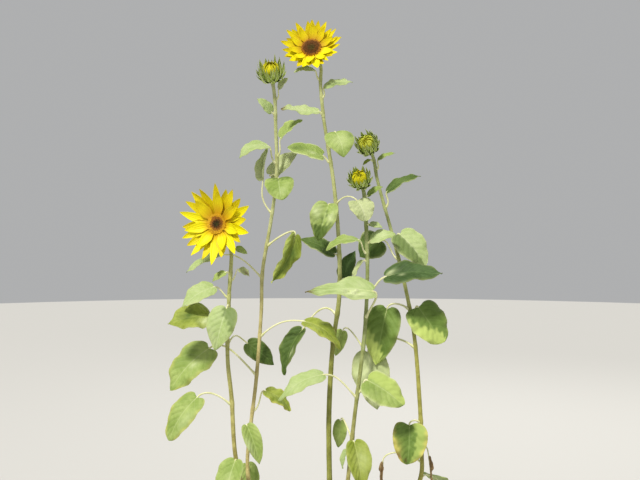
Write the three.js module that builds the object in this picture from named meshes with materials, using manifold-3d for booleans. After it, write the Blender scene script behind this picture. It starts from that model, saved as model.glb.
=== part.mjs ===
// A branching sunflower plant: five flowering stems from one root.
// Millimetres, +Z up, the viewer stands on the -Y side, X to the right.
// The origin is the middle of the flat cut under the main stem, at ground level.

import * as THREE from 'three';
import Module from 'manifold-3d';
import { mergeVertices } from 'three/addons/utils/BufferGeometryUtils.js';

const wasm = await Module();
wasm.setup();

// Driving sizes

const CLEARANCE = 0.3; // between a leaf stalk and its stem, and between a neck and its stem
const LENGTH_GAP = 0.4; // between two lengths of one stem, measured along it
const FORK_CLEARANCE = 0.5; // between a stem and the one it forks from
const STEM_SIDES = 8;
const STEM_STEP = 38; // between the rings of a stem
const FOOT_RINGS = 2; // more rings where a stem starts at a fork or the root
const FOOT_CROWDING = 1.25; // draws rings towards that start
const PETIOLE_RINGS = 3;
const BLADE_RINGS = 5;
const SMALL_PETIOLE_RINGS = 2;
const SMALL_BLADE_RINGS = 4;
const BLADE_THICKNESS = 0.02; // of the blade's length, at the midrib of a lens section
const LOBE = 0.1; // how far the heart lobes reach back, of the blade's length
const WIDEST = 0.34; // where along the blade it is widest
const POINTED = 0.9; // power of the outline of a pointed blade
const ROUNDED = 0.5; // and of a blade with a round tip
const BLADE_START = 0.03; // first ring of a blade, along its length
const BLADE_CROWDING = 1.1; // draws the rings of a blade towards its stalk
const MIN_THICKNESS = 1.1;
const PETIOLE_THIN = 0.9; // petiole radius before the blade's share is added
const PETIOLE_SHARE = 0.008; // petiole radius for each mm of blade
const PETIOLE_BEND = 0.35; // how far its curve's handles reach, of its span
const BISECTIONS = 30; // halvings that find a height on a stem
const ROOT_FLARE = 5; // added to the main stem's radius at the ground
const ROOT_FLARE_HEIGHT = 34;

const GREEN_STEM = { color: 0xb5b870, roughness: 0.6, metalness: 0 };
const GREEN_LEAF = { color: 0x7fa85a, roughness: 0.65, metalness: 0 };
const YELLOW_RAY = { color: 0xf5d000, roughness: 0.6, metalness: 0 };
const GREEN_BUD = { color: 0x8fae4a, roughness: 0.65, metalness: 0 };
const DRY_LEAF = { color: 0x8a6a44, roughness: 0.8, metalness: 0 };

// Stems: where each one forks, a few points that it is bent through, its radius at the two
// ends, and the height at which a stem that bends round a wide gap is made in two lengths

const STEMS = {
  main: {
    radius: [6.2, 3.3],
    through: [[0, 0, 0], [1, 0, 120], [-1, 0, 290], [-2, 0, 422], [6, 0, 562], [18, 2, 650],
      [19, 2, 736], [9, 0, 870], [-13, -2, 1014]],
  },
  left: {
    fork: ['main', 62],
    split: 212,
    radius: [5, 3.6],
    through: [[-46, -6, 108], [-98, -10, 162], [-144, -13, 222], [-175, -15, 286],
      [-188, -16, 348], [-195, -16, 456], [-203, -15, 536], [-200, -15, 664]],
  },
  left_rear: {
    fork: ['left', 250],
    radius: [3.7, 3.4],
    through: [[-166, 8, 318], [-161, 20, 388], [-150, 25, 482], [-139, 25, 630],
      [-137, 25, 704], [-119, 24, 812], [-108, 22, 902], [-110, 20, 1012]],
  },
  centre: {
    fork: ['main', 128],
    radius: [4.1, 3.6],
    through: [[22, -14, 176], [35, -16, 292], [47, -16, 408], [68, -15, 582],
      [74, -15, 700], [72, -15, 788]],
  },
  right: {
    fork: ['main', 78],
    split: 192,
    radius: [5, 3.1],
    through: [[46, 8, 120], [102, 14, 172], [154, 18, 228], [184, 20, 290], [186, 20, 340],
      [181, 20, 456], [170, 20, 582], [150, 20, 687], [130, 20, 768], [102, 18, 868],
      [94, 17, 900]],
  },
};

// Leaves, one row each: height on the stem, blade base from there, tip from the base,
// width, the way its upper face looks, its arch, its fold in degrees, and how round its
// tip is, from 0 to 1, where it isn't pointed

const LEAVES = {
  left: [
    [656, [-30, -6, 21], [-58, -20, -38], 54, [-0.3, -0.7, 0.7], 0.1, 14],
    [634, [0, -34, 4], [-20, -14, -80], 60, [-0.2, -1, 0.1], 0.1, 12],
    [606, [-36, -10, 16], [-76, -25, -16], 68, [-0.2, -0.75, 0.65], 0.08, 10],
    [566, [34, 60, -8], [54, 8, -46], 44, [0.2, -1, 0.3], 0.1, 12],
    [446, [-66, -15, 16], [-52, -15, -82], 62, [-0.3, -0.9, 0.3], 0.12, 10, 0.8],
    [322, [-2, -16, 16], [-18, -20, -92], 58, [-0.4, -0.9, 0.1], 0.12, 18],
  ],
  left_rear: [
    [940, [9, -9, 36], [44, -8, 34], 40, [-0.4, -0.6, 0.6], 0.08, 28],
    [926, [-18, -6, 34], [-56, -15, -26], 40, [-0.1, -0.6, 0.8], 0.2, 10, 0.4],
    [900, [-14, 26, 4], [54, 6, 48], 38, [-0.3, -1, 0.4], 0.08, 14, 0.7],
    [880, [6, -16, 14], [8, -34, -46], 60, [0, -0.8, 0.6], 0.12, 12, 0.8],
    [826, [-19, 2, 66], [12, 10, 66], 44, [-0.8, -0.7, 0.1], 0.04, 50],
    [760, [58, -22, 20], [-48, -10, -94], 50, [0.7, -0.6, 0.3], 0.1, 25],
    [696, [-88, 15, 42], [-66, -10, -36], 34, [0, -0.4, 0.9], 0.08, 25],
    [576, [92, -34, 32], [70, -12, -54], 52, [0.3, -0.5, 0.9], 0.17, 12],
    [498, [-94, -12, 54], [-74, -26, -80], 72, [-0.3, -0.9, 0.35], 0.1, 8, 0.6],
    [425, [26, 5, 38], [50, -5, -40], 44, [0.3, -0.5, 0.8], 0.12, 12],
    [392, [-6, -16, 6], [26, -10, -74], 46, [0.2, -1, 0.1], 0.08, 40],
    [296, [-6, 42, 14], [8, 6, -74], 46, [0.3, -0.8, 0.2], 0.12, 15],
  ],
  main: [
    [954, [14, -12, 30], [16, -24, -52], 60, [0.1, -0.85, 0.5], 0.1, 8],
    [926, [-16, -5, 12], [-70, -10, 14], 48, [0, -0.6, 0.8], 0.08, 22, 1],
    [844, [41, -32, 3], [16, -14, -40], 54, [0.3, -0.9, 0.3], 0.12, 18, 0.9],
    [834, [-16, -12, 6], [-20, -14, -72], 66, [-0.2, -1, 0.1], 0.1, 35],
    [738, [-10, 12, 4], [-72, 8, 30], 46, [0, -0.6, 0.75], 0.06, 14],
    [684, [8, 14, 8], [24, 8, 56], 40, [-0.3, -0.7, 0.5], 0.06, 18],
    [622, [-70, 24, -34], [-36, -5, -92], 54, [-0.7, -0.7, 0.2], 0.1, 30],
    [236, [40, 34, 40], [58, 34, -46], 62, [0.4, 0.5, 0.8], 0.12, 12],
    [196, [-34, 40, 34], [-40, 44, -52], 62, [-0.3, 0.6, 0.7], 0.12, 12],
  ],
  centre: [
    [764, [8, -6, 6], [48, -12, 10], 36, [0.1, -0.7, 0.7], 0.1, 18],
    [744, [-18, -10, 26], [-64, -20, -20], 38, [0, -0.4, 0.9], 0.16, 12],
    [728, [-10, -6, 0], [-18, -5, -44], 18, [-0.8, -0.6, 0.2], 0.1, 45],
    [664, [36, -16, 34], [108, -18, 2], 62, [0, -0.65, 0.75], 0.1, 14],
    [618, [12, -30, 52], [-132, -12, -6], 60, [0, -0.7, 0.7], 0.06, 14, 0.3],
    [560, [-40, 36, 26], [-14, 10, -52], 34, [-0.2, -0.8, 0.3], 0.12, 12],
    [470, [18, -8, 24], [70, -20, -46], 66, [0.3, -0.9, 0.4], 0.1, 10, 0.7],
    [460, [-68, -16, 46], [-84, -12, -50], 50, [-0.1, -0.5, 0.9], 0.16, 10],
    [380, [-22, 38, 24], [-4, 8, -56], 30, [-0.2, -0.9, 0.2], 0.12, 12],
    [368, [4, -14, 6], [14, -15, -88], 56, [0.4, -1, 0.1], 0.1, 22],
    [352, [-8, -6, 4], [-8, -4, -36], 18, [-0.7, -0.7, 0.1], 0.1, 40],
  ],
  right: [
    [836, [5, -5, 32], [66, -10, 30], 42, [-0.3, -0.45, 0.85], 0.1, 14],
    [770, [10, -10, 12], [50, -12, -64], 70, [0.2, -0.85, 0.55], 0.1, 12, 0.6],
    [732, [-34, 12, 36], [-44, 8, -32], 68, [-0.3, -0.9, 0.3], 0.12, 12],
    [632, [-46, -6, 0], [-22, -6, -112], 74, [-0.2, -0.95, 0.2], 0.08, 14, 0.3],
    [616, [12, -18, 20], [46, -18, -70], 80, [0.2, -0.9, 0.4], 0.08, 8, 1],
    [554, [-95, 14, -12], [19, -12, -115], 80, [-0.3, -0.9, 0.2], 0.1, 14],
    [402, [-25, -14, -3], [-6, -20, -74], 76, [-0.1, -1, 0.15], 0.1, 24, 0.7],
    [252, [34, 32, 34], [44, 36, -50], 60, [0.5, 0.5, 0.7], 0.12, 12],
  ],
};

const DRY_LEAVES = {
  right: [
    [350, [14, -4, -18], [2, -2, -50], 16, [0.6, -0.8, 0], 0.1, 50],
    [322, [-80, -8, 0], [-2, -4, -60], 22, [-0.5, -0.9, 0], 0.1, 50],
  ],
};

// Heads: the neck that goes on from its stem, small leaves on it, and the bloom or bud

const HEADS = {
  main: {
    neck: [[-13, -2, 1014], [-19, -2, 1082], [-19, 2, 1120], [-36, 2, 1148]],
    axis: [-0.1, -0.88, 0.4],
    leaves: [
      [1090, [-13, -4, 26], [-38, -5, -6], 26, [0, -0.2, 1], 0.1, 10],
      [1054, [6, -4, 22], [56, -5, 6], 34, [0, -0.4, 0.9], 0.1, 10],
      [1022, [-10, -5, 4], [-72, -15, 10], 42, [0.1, -0.55, 0.85], -0.06, 14],
    ],
    bloom: { disc: 20, ray: 38, rayWidth: 13, rays: 13, layers: 2, cup: 20 },
  },
  left: {
    neck: [[-200, -15, 664], [-197, -15, 708], [-197, -8, 748], [-208, -6, 786], [-219, -14, 801]],
    axis: [-0.34, -0.92, 0.08],
    leaves: [
      [690, [18, 4, 22], [20, -2, -14], 18, [0.3, -0.7, 0.6], 0.1, 14],
      [704, [-10, -6, 2], [-24, -6, -18], 20, [-0.3, -0.7, 0.6], 0.1, 14],
      [752, [10, 6, 2], [22, 2, -12], 18, [0.3, -0.7, 0.6], 0.1, 14],
    ],
    bloom: { disc: 20, ray: 61, rayWidth: 17, rays: 10, layers: 2, cup: 24 },
  },
  left_rear: {
    neck: [[-110, 20, 1012], [-111, 19, 1052], [-114, 17, 1078], [-117, 15, 1094]],
    axis: [-0.05, -0.5, 0.85],
    leaves: [
      [1054, [8, -4, 22], [20, -5, 20], 18, [-0.3, -0.7, 0.6], 0.1, 14],
      [1024, [-8, -6, 4], [-28, -8, 26], 26, [0.3, -0.8, 0.5], 0.1, 14],
    ],
    bud: { body: 20, reach: 32, heart: 14 },
  },
  centre: {
    neck: [[72, -15, 788], [69, -15, 848], [66, -16, 868], [61, -20, 882]],
    axis: [-0.2, -0.85, 0.5],
    leaves: [
      [800, [7, -5, 2], [24, -8, -8], 18, [0.2, -0.7, 0.6], 0.1, 14],
      [856, [7, -4, 2], [28, -6, 17], 18, [-0.2, -0.7, 0.7], 0.1, 14],
    ],
    bud: { body: 17, reach: 27, heart: 12 },
  },
  right: {
    neck: [[94, 17, 900], [90, 16, 926], [86, 14, 940], [79, 9, 954]],
    axis: [-0.3, -0.85, 0.45],
    leaves: [
      [912, [5, -4, 20], [34, -6, 12], 18, [0, -0.5, 0.8], 0.1, 14],
      [930, [-9, -4, 2], [-14, -4, -12], 10, [-0.5, -0.7, 0.4], 0.1, 14],
    ],
    bud: { body: 18, reach: 29, heart: 12 },
  },
};

// Shape tools

const vector = (xyz) => new THREE.Vector3(...xyz);
const mix = (a, b, t) => a + (b - a) * t;
const UP = new THREE.Vector3(0, 0, 1);
const SIDEWAYS = new THREE.Vector3(0, -1, 0);

function squareTo(direction, tangent) {
  return direction.clone().addScaledVector(tangent, -direction.dot(tangent)).normalize();
}

// A closed skin through rings of the same number of points, flat at its two ends
function loft(rings) {
  const count = rings[0].length;
  const last = (rings.length - 1) * count;
  const faces = [];
  for (let ring = 0; ring < last; ring += count) {
    for (let j = 0; j < count; j += 1) {
      const next = (j + 1) % count;
      faces.push(ring + j, ring + next, ring + count + next);
      faces.push(ring + j, ring + count + next, ring + count + j);
    }
  }
  for (let j = 1; j + 1 < count; j += 1) {
    faces.push(0, j + 1, j);
    faces.push(last, last + j, last + j + 1);
  }
  const geometry = new THREE.BufferGeometry();
  const positions = rings.flat().flatMap((point) => [point.x, point.y, point.z]);
  geometry.setAttribute('position', new THREE.Float32BufferAttribute(positions, 3));
  geometry.setIndex(faces);
  return geometry;
}

function ringAt(centre, side, up, radius, sides) {
  return Array.from({ length: sides }, (unused, j) => {
    const turn = (j / sides) * Math.PI * 2;
    return centre.clone()
      .addScaledVector(side, radius * Math.cos(turn))
      .addScaledVector(up, radius * Math.sin(turn));
  });
}

// Stems

function stemCurve(through) {
  return new THREE.CatmullRomCurve3(through.map(vector), false, 'centripetal');
}

function flareAt(z, flare) {
  return flare * Math.exp(-((z / ROOT_FLARE_HEIGHT) ** 2));
}

const stemRadius = (stem, along) => mix(stem.radius[0], stem.radius[1], along);

// One length of a stem, from `low` to `high` along its curve. It starts flat against the
// stem that it forks from, and its other ends are cut level.
function stemSolid(curve, radiusAt, low, high, forkDirection) {
  const length = curve.getLength() * (high - low);
  const steps = Math.ceil(length / STEM_STEP) + (low === 0 ? FOOT_RINGS : 0);
  const rings = [];
  for (let i = 0; i <= steps; i += 1) {
    const along = mix(low, high, low === 0 ? (i / steps) ** FOOT_CROWDING : i / steps);
    const centre = curve.getPointAt(along);
    let tangent = curve.getTangentAt(along);
    if (i === steps || i === 0) tangent = UP;
    if (i === 0 && forkDirection) tangent = forkDirection;
    const up = squareTo(SIDEWAYS, tangent);
    rings.push(ringAt(centre, up.clone().cross(tangent), up, radiusAt(along, centre.z),
      STEM_SIDES));
  }
  return loft(rings);
}

function pointAtHeight(curve, height) {
  let low = 0;
  let high = 1;
  for (let i = 0; i < BISECTIONS; i += 1) {
    const middle = (low + high) / 2;
    if (curve.getPointAt(middle).z < height) low = middle;
    else high = middle;
  }
  return { centre: curve.getPointAt(low), along: low, tangent: curve.getTangentAt(low) };
}

// Leaves

// Half width along a blade, from 0 at the stalk to 0 at the tip, 1 where it is widest
function bladeProfile(t, blunt) {
  const rise = WIDEST / (1 - WIDEST);
  const power = mix(POINTED, ROUNDED, blunt);
  const shape = (s) => s ** (power * rise) * (1 - s) ** power;
  return shape(t) / shape(WIDEST);
}

function bladeRing(centre, side, up, tangent, t, sizes) {
  const half = Math.max(sizes.half * bladeProfile(t, sizes.blunt), sizes.thick * 0.4);
  const thick = (sizes.thick / 2) * (1 - 0.6 * t);
  const back = sizes.length * LOBE * (1 - t) ** 3;
  const at = (across, lift) => {
    const spread = Math.abs(across);
    return centre.clone()
      .addScaledVector(side, across * half * Math.cos(sizes.fold))
      .addScaledVector(up, spread * half * Math.sin(sizes.fold) + lift)
      .addScaledVector(tangent, -back * spread ** 2);
  };
  return [
    at(1, 0), at(0.5, thick * 0.8), at(0, thick), at(-0.5, thick * 0.8),
    at(-1, 0), at(-0.5, -thick * 0.8), at(0, -thick), at(0.5, -thick * 0.8),
  ];
}

function leafSolid(joint, thickness, row, small = false) {
  const [, baseOffset, tipOffset, width, face, arch, fold, blunt = 0] = row;
  const base = joint.centre.clone().add(vector(baseOffset));
  const axis = vector(tipOffset);
  const length = axis.length();
  const along = axis.clone().normalize();
  const faceUp = squareTo(vector(face), along);
  const sizes = {
    length,
    half: width / 2,
    thick: Math.max(MIN_THICKNESS, length * BLADE_THICKNESS),
    fold: THREE.MathUtils.degToRad(fold),
    blunt,
  };
  const bladePoint = (t) => base.clone()
    .addScaledVector(axis, t)
    .addScaledVector(faceUp, arch * length * 4 * t * (1 - t));
  const bladeTangent = (t) => axis.clone()
    .addScaledVector(faceUp, arch * length * 4 * (1 - 2 * t)).normalize();

  // A small leaf on a neck is sunk in it, and any other starts clear of its stem
  const outward = squareTo(vector(baseOffset), joint.tangent);
  const start = joint.centre.clone()
    .addScaledVector(outward, small ? 0 : thickness + CLEARANCE);
  const reach = base.distanceTo(start);
  const petiole = new THREE.CubicBezierCurve3(
    start,
    start.clone().addScaledVector(outward, reach * PETIOLE_BEND)
      .addScaledVector(UP, reach * PETIOLE_BEND),
    base.clone().addScaledVector(bladeTangent(0), -reach * PETIOLE_BEND),
    base,
  );
  const petioleRadius = PETIOLE_THIN + length * PETIOLE_SHARE;

  // The rings are found from the blade back to the stem, so that the stalk never twists
  const rings = [];
  const petioleRings = small ? SMALL_PETIOLE_RINGS : PETIOLE_RINGS;
  const bladeRings = small ? SMALL_BLADE_RINGS : BLADE_RINGS;
  let up = squareTo(faceUp, bladeTangent(0));
  for (let i = petioleRings - 1; i >= 0; i -= 1) {
    const t = i / petioleRings;
    const tangent = i === 0 ? outward : petiole.getTangent(t);
    up = squareTo(up, tangent);
    const side = up.clone().cross(tangent);
    rings.unshift(ringAt(petiole.getPoint(t), side, up, petioleRadius, 8));
  }
  for (let i = 0; i <= bladeRings; i += 1) {
    const t = mix(BLADE_START, 1, (i / bladeRings) ** BLADE_CROWDING);
    const tangent = bladeTangent(t);
    const ringUp = squareTo(faceUp, tangent);
    const side = ringUp.clone().cross(tangent);
    rings.push(bladeRing(bladePoint(t), side, ringUp, tangent, t, sizes));
  }
  return loft(rings);
}

// Joining

function toManifold(geometry) {
  const bare = geometry.clone();
  bare.deleteAttribute('normal');
  bare.deleteAttribute('uv');
  const merged = mergeVertices(bare, 1e-4);
  return new wasm.Manifold(new wasm.Mesh({
    numProp: 3,
    vertProperties: new Float32Array(merged.attributes.position.array),
    triVerts: new Uint32Array(merged.index.array),
  }));
}

function fuse(geometries) {
  const joined = geometries.map(toManifold).reduce((whole, piece) => whole.add(piece));
  const mesh = joined.getMesh();
  const geometry = new THREE.BufferGeometry();
  geometry.setAttribute('position', new THREE.Float32BufferAttribute(mesh.vertProperties, 3));
  geometry.setIndex(Array.from(mesh.triVerts));
  return geometry;
}

// Blooms and buds, made round the local Z axis and turned to their own direction

// A pointed blade in a plane through the axis: it starts at radius `from`, at height `low`
function pointedBlade(turn, from, low, reach, rise, width, thick, curl) {
  const radial = new THREE.Vector3(Math.cos(turn), Math.sin(turn), 0);
  const side = new THREE.Vector3(-Math.sin(turn), Math.cos(turn), 0);
  const widths = [0.55, 0.95, 0.85, 0.08];
  const places = [0, 0.35, 0.7, 1];
  const rings = places.map((t, i) => {
    const centre = radial.clone().multiplyScalar(from + reach * t)
      .setZ(low + rise * t + curl * t * t);
    const half = (width / 2) * widths[i];
    const flat = (thick / 2) * (1 - 0.5 * t);
    return [
      centre.clone().addScaledVector(side, half),
      centre.clone().addScaledVector(UP, flat),
      centre.clone().addScaledVector(side, -half),
      centre.clone().addScaledVector(UP, -flat),
    ];
  });
  return loft(rings);
}

function turned(profile, segments) {
  const points = profile.map(([radius, z]) => new THREE.Vector2(radius, z));
  return new THREE.LatheGeometry(points, segments).rotateX(Math.PI / 2);
}

function bloomPieces({ disc, ray, rayWidth, rays, layers, cup }) {
  const pieces = [turned([[0, -15], [6, -14], [disc * 0.8, -7], [disc + 1, -1], [disc - 1, 3],
    [disc * 0.6, 5], [0, 4]], 14)];
  for (let layer = 0; layer < layers; layer += 1) {
    for (let i = 0; i < rays; i += 1) {
      const turn = ((i + layer / layers) / rays) * Math.PI * 2;
      const reach = ray * (layer === 0 ? 1 : 0.93) + 4;
      const low = -1 - 2.2 * layer;
      pieces.push(pointedBlade(turn, disc - 4, low, reach, 1, rayWidth, 1.6, cup - 3 * layer));
    }
  }
  return pieces;
}

function budPieces({ body, reach, heart }) {
  const pieces = [turned([[0, -body * 0.72], [body * 0.5, -body * 0.62], [body * 0.95, -body * 0.2],
    [body, body * 0.25], [heart, body * 0.72], [heart * 0.6, body * 0.9], [0, body * 0.95]], 12)];
  const whorls = [
    { count: 8, from: 0.35, low: -0.5, rise: 0.35, curl: 0.25, spread: 1 },
    { count: 9, from: 0.7, low: -0.1, rise: 0.9, curl: 0.3, spread: 0.8 },
  ];
  whorls.forEach(({ count, from, low, rise, curl, spread }, whorl) => {
    for (let i = 0; i < count; i += 1) {
      const turn = ((i + whorl / 2) / count) * Math.PI * 2;
      pieces.push(pointedBlade(turn, body * from, body * low, reach * spread - body * from,
        body * rise, body * 0.55, 2, body * curl));
    }
  });
  return pieces;
}

function headSolid(head, thickness) {
  const neckCurve = stemCurve(head.neck);
  const axis = vector(head.axis).normalize();
  const end = vector(head.neck.at(-1));
  const place = new THREE.Matrix4().compose(
    end.clone().addScaledVector(axis, head.bloom ? 10 : head.bud.body * 0.5),
    new THREE.Quaternion().setFromUnitVectors(UP, axis),
    new THREE.Vector3(1, 1, 1),
  );
  const top = (head.bloom ? bloomPieces(head.bloom) : budPieces(head.bud))
    .map((piece) => piece.applyMatrix4(place));
  const start = CLEARANCE / neckCurve.getLength();
  const neck = stemSolid(neckCurve, () => thickness, start, 1);
  const leaves = head.leaves.map((row) => (
    leafSolid(pointAtHeight(neckCurve, row[0]), thickness, row, true)));
  return fuse([neck, ...leaves, ...top]);
}

// The plant

const plant = new THREE.Group();
plant.name = 'sunflower_plant';

function addPiece(name, geometry, look) {
  const mesh = new THREE.Mesh(geometry, new THREE.MeshStandardMaterial(look));
  mesh.name = name;
  plant.add(mesh);
}

const curves = {};
for (const [name, stem] of Object.entries(STEMS)) {
  const flare = name === 'main' ? ROOT_FLARE : 0;
  const radiusAt = (along, z) => stemRadius(stem, along) + flareAt(z, flare);
  let { through } = stem;
  let forkDirection = null;
  if (stem.fork) {
    const [parent, height] = stem.fork;
    const joint = pointAtHeight(curves[parent], height);
    forkDirection = squareTo(vector(through[0]).sub(joint.centre), joint.tangent);
    const parentRadius = stemRadius(STEMS[parent], joint.along)
      + flareAt(height, parent === 'main' ? ROOT_FLARE : 0);
    const start = joint.centre.addScaledVector(forkDirection, parentRadius + FORK_CLEARANCE);
    through = [start.toArray(), ...through];
  }
  const curve = stemCurve(through);
  curves[name] = curve;
  if (stem.split) {
    const { along } = pointAtHeight(curve, stem.split);
    const gap = LENGTH_GAP / curve.getLength();
    addPiece(`stem_${name}_arm`, stemSolid(curve, radiusAt, 0, along, forkDirection), GREEN_STEM);
    addPiece(`stem_${name}`, stemSolid(curve, radiusAt, along + gap, 1), GREEN_STEM);
  } else {
    addPiece(`stem_${name}`, stemSolid(curve, radiusAt, 0, 1, forkDirection), GREEN_STEM);
  }
}

function addLeaves(rows, look, kind) {
  for (const [stem, leaves] of Object.entries(rows)) {
    leaves.forEach((row, i) => {
      const joint = pointAtHeight(curves[stem], row[0]);
      const thickness = stemRadius(STEMS[stem], joint.along);
      addPiece(`${kind}_${stem}_${i + 1}`, leafSolid(joint, thickness, row), look);
    });
  }
}
addLeaves(LEAVES, GREEN_LEAF, 'leaf');
addLeaves(DRY_LEAVES, DRY_LEAF, 'dry_leaf');

for (const [stem, head] of Object.entries(HEADS)) {
  const kind = head.bloom ? 'flower' : 'bud';
  addPiece(`${kind}_${stem}`, headSolid(head, STEMS[stem].radius[1]),
    head.bloom ? YELLOW_RAY : GREEN_BUD);
}

export default plant;
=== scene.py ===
# %% [markdown]
# # A branching sunflower plant
# Five slender stems grow from one root and carry long-stalked, heart-shaped leaves, two open
# blooms and three buds. Every leaf, stem and bloom here is grown again, with finer detail, from
# nearly the same few sizes that its plain solid was made from, so each lies where its solid lies.
# Sizes are given in millimetres, as a gardener would measure them, and turned into metres when a
# mesh or a finish is made.

import math
import random
from collections import namedtuple

import bpy
import numpy as np
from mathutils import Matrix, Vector


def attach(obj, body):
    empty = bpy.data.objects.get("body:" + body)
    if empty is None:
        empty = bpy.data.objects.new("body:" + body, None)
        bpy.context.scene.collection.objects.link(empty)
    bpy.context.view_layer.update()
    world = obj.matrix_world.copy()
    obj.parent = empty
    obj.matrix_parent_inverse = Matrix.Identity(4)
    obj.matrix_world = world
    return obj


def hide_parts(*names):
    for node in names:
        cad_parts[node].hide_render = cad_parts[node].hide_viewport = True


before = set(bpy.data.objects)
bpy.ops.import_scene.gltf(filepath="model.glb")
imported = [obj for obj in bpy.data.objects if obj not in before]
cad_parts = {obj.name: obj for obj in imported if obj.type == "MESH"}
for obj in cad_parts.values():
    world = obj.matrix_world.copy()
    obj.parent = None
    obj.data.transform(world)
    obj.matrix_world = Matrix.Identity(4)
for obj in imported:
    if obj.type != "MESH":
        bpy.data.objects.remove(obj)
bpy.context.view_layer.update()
MM = 0.001

# %% [markdown]
# ## Camera
# The photograph was taken nearly level, from about 1.6 m in front of the plant and 0.77 m above
# its foot. A camera that stands there and takes in 1.28 m of the plant's plane shows it at the
# same size and place. The Standard view leaves the painted colours as they were picked.

# %% Camera
CAMERA_DISTANCE = 1.6
CAMERA_HEIGHT = 0.77
CAMERA_SIDE = -0.02
PICTURE_WIDTH = 1.28
SENSOR_WIDTH = 36.0

camera_data = bpy.data.cameras.new("camera")
camera_data.sensor_width = SENSOR_WIDTH
camera_data.lens = SENSOR_WIDTH * CAMERA_DISTANCE / PICTURE_WIDTH
camera = bpy.data.objects.new("camera", camera_data)
camera.location = (CAMERA_SIDE, -CAMERA_DISTANCE, CAMERA_HEIGHT)
camera.rotation_euler = (math.radians(90), 0, 0)
bpy.context.collection.objects.link(camera)
bpy.context.scene.camera = camera
bpy.context.scene.view_settings.view_transform = "Standard"
print("lens", round(camera_data.lens, 1), "mm")

# %% [markdown]
# ## Colours
# A colour is picked as it looks on a screen, from 0 to 255, while Blender wants shares of light.
# The function follows the curve that screens use, so a colour comes out as it was picked.


# %% Screen colours into light
def paint(red, green, blue):
    def to_light(value):
        value = value / 255
        return value / 12.92 if value < 0.04045 else ((value + 0.055) / 1.055) ** 2.4
    return (to_light(red), to_light(green), to_light(blue), 1.0)


# %% [markdown]
# ## Floor and sky
# A pale, matt, round floor takes the plant's shadow, and an even grey sky lights it from all
# sides. The floor is only a stage.

# %% Floor and sky
FLOOR_RADIUS = 9.0
FLOOR_SIDES = 96
FLOOR_PAINT = paint(194, 193, 190)
FLOOR_ROUGHNESS = 0.9
SKY_PAINT = paint(228, 229, 230)
SKY_STRENGTH = 0.55

turns = [math.tau * i / FLOOR_SIDES for i in range(FLOOR_SIDES)]
floor_mesh = bpy.data.meshes.new("floor")
floor_mesh.from_pydata(
    [(FLOOR_RADIUS * math.cos(t), FLOOR_RADIUS * math.sin(t), 0) for t in turns],
    [], [list(range(FLOOR_SIDES))])
floor = bpy.data.objects.new("floor", floor_mesh)
bpy.context.collection.objects.link(floor)
floor_paint = bpy.data.materials.new("pale floor")
floor_paint.use_nodes = True
floor_shader = floor_paint.node_tree.nodes["Principled BSDF"]
floor_shader.inputs["Base Color"].default_value = FLOOR_PAINT
floor_shader.inputs["Roughness"].default_value = FLOOR_ROUGHNESS
floor_mesh.materials.append(floor_paint)

world = bpy.data.worlds.new("pale room")
world.use_nodes = True
sky = world.node_tree.nodes["Background"]
sky.inputs["Color"].default_value = SKY_PAINT
sky.inputs["Strength"].default_value = SKY_STRENGTH
bpy.context.scene.world = world
print("floor", 2 * FLOOR_RADIUS, "m across")

# %% [markdown]
# ## Lights
# The real sun stood high in front of the plant, on the left. A sun lamp gives the same parallel
# light, and a disc wider than the real one's softens the edges of its shadows. Two panels, one in
# front on the right and one behind, open up what the sun leaves dark.

# %% Sun and panels
KEY_DIRECTION = Vector((0.34, 0.6, -0.86))
KEY_SOFTNESS = math.radians(9)
KEY_STRENGTH = 3.6
KEY_COLOUR = (1.0, 0.97, 0.9)
PANEL_AIM = Vector((0, 0, 0.7))

key_data = bpy.data.lights.new("key", "SUN")
key_data.energy = KEY_STRENGTH
key_data.angle = KEY_SOFTNESS
key_data.color = KEY_COLOUR
key = bpy.data.objects.new("key", key_data)
key.rotation_euler = KEY_DIRECTION.to_track_quat("-Z", "Y").to_euler()
bpy.context.collection.objects.link(key)


def light_panel(name, place, size, power, colour):
    data = bpy.data.lights.new(name, "AREA")
    data.shape = "SQUARE"
    data.size = size
    data.energy = power
    data.color = colour
    panel = bpy.data.objects.new(name, data)
    panel.location = place
    aim = PANEL_AIM - Vector(place)
    panel.rotation_euler = aim.to_track_quat("-Z", "Y").to_euler()
    bpy.context.collection.objects.link(panel)


light_panel("fill", place=(1.6, -2.6, 1.1), size=1.8, power=9, colour=(0.98, 1.0, 0.97))
light_panel("rim", place=(0.9, 2.3, 2.4), size=1.2, power=20, colour=(1.0, 0.99, 0.95))
print("lights", [o.name for o in bpy.data.objects if o.type == "LIGHT"])

# %% [markdown]
# ## Shared effects as node groups
# A vein, a patchy tint and a fine rib turn up on many finishes: leaves, bracts, rays, stalks.
# Each is built once as a node group with named inputs and outputs, and every material places it
# with its own values. The groups give out only colours, masks and heights, and the shader itself
# stays in the material, so a finish can be read from its own nodes.


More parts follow.
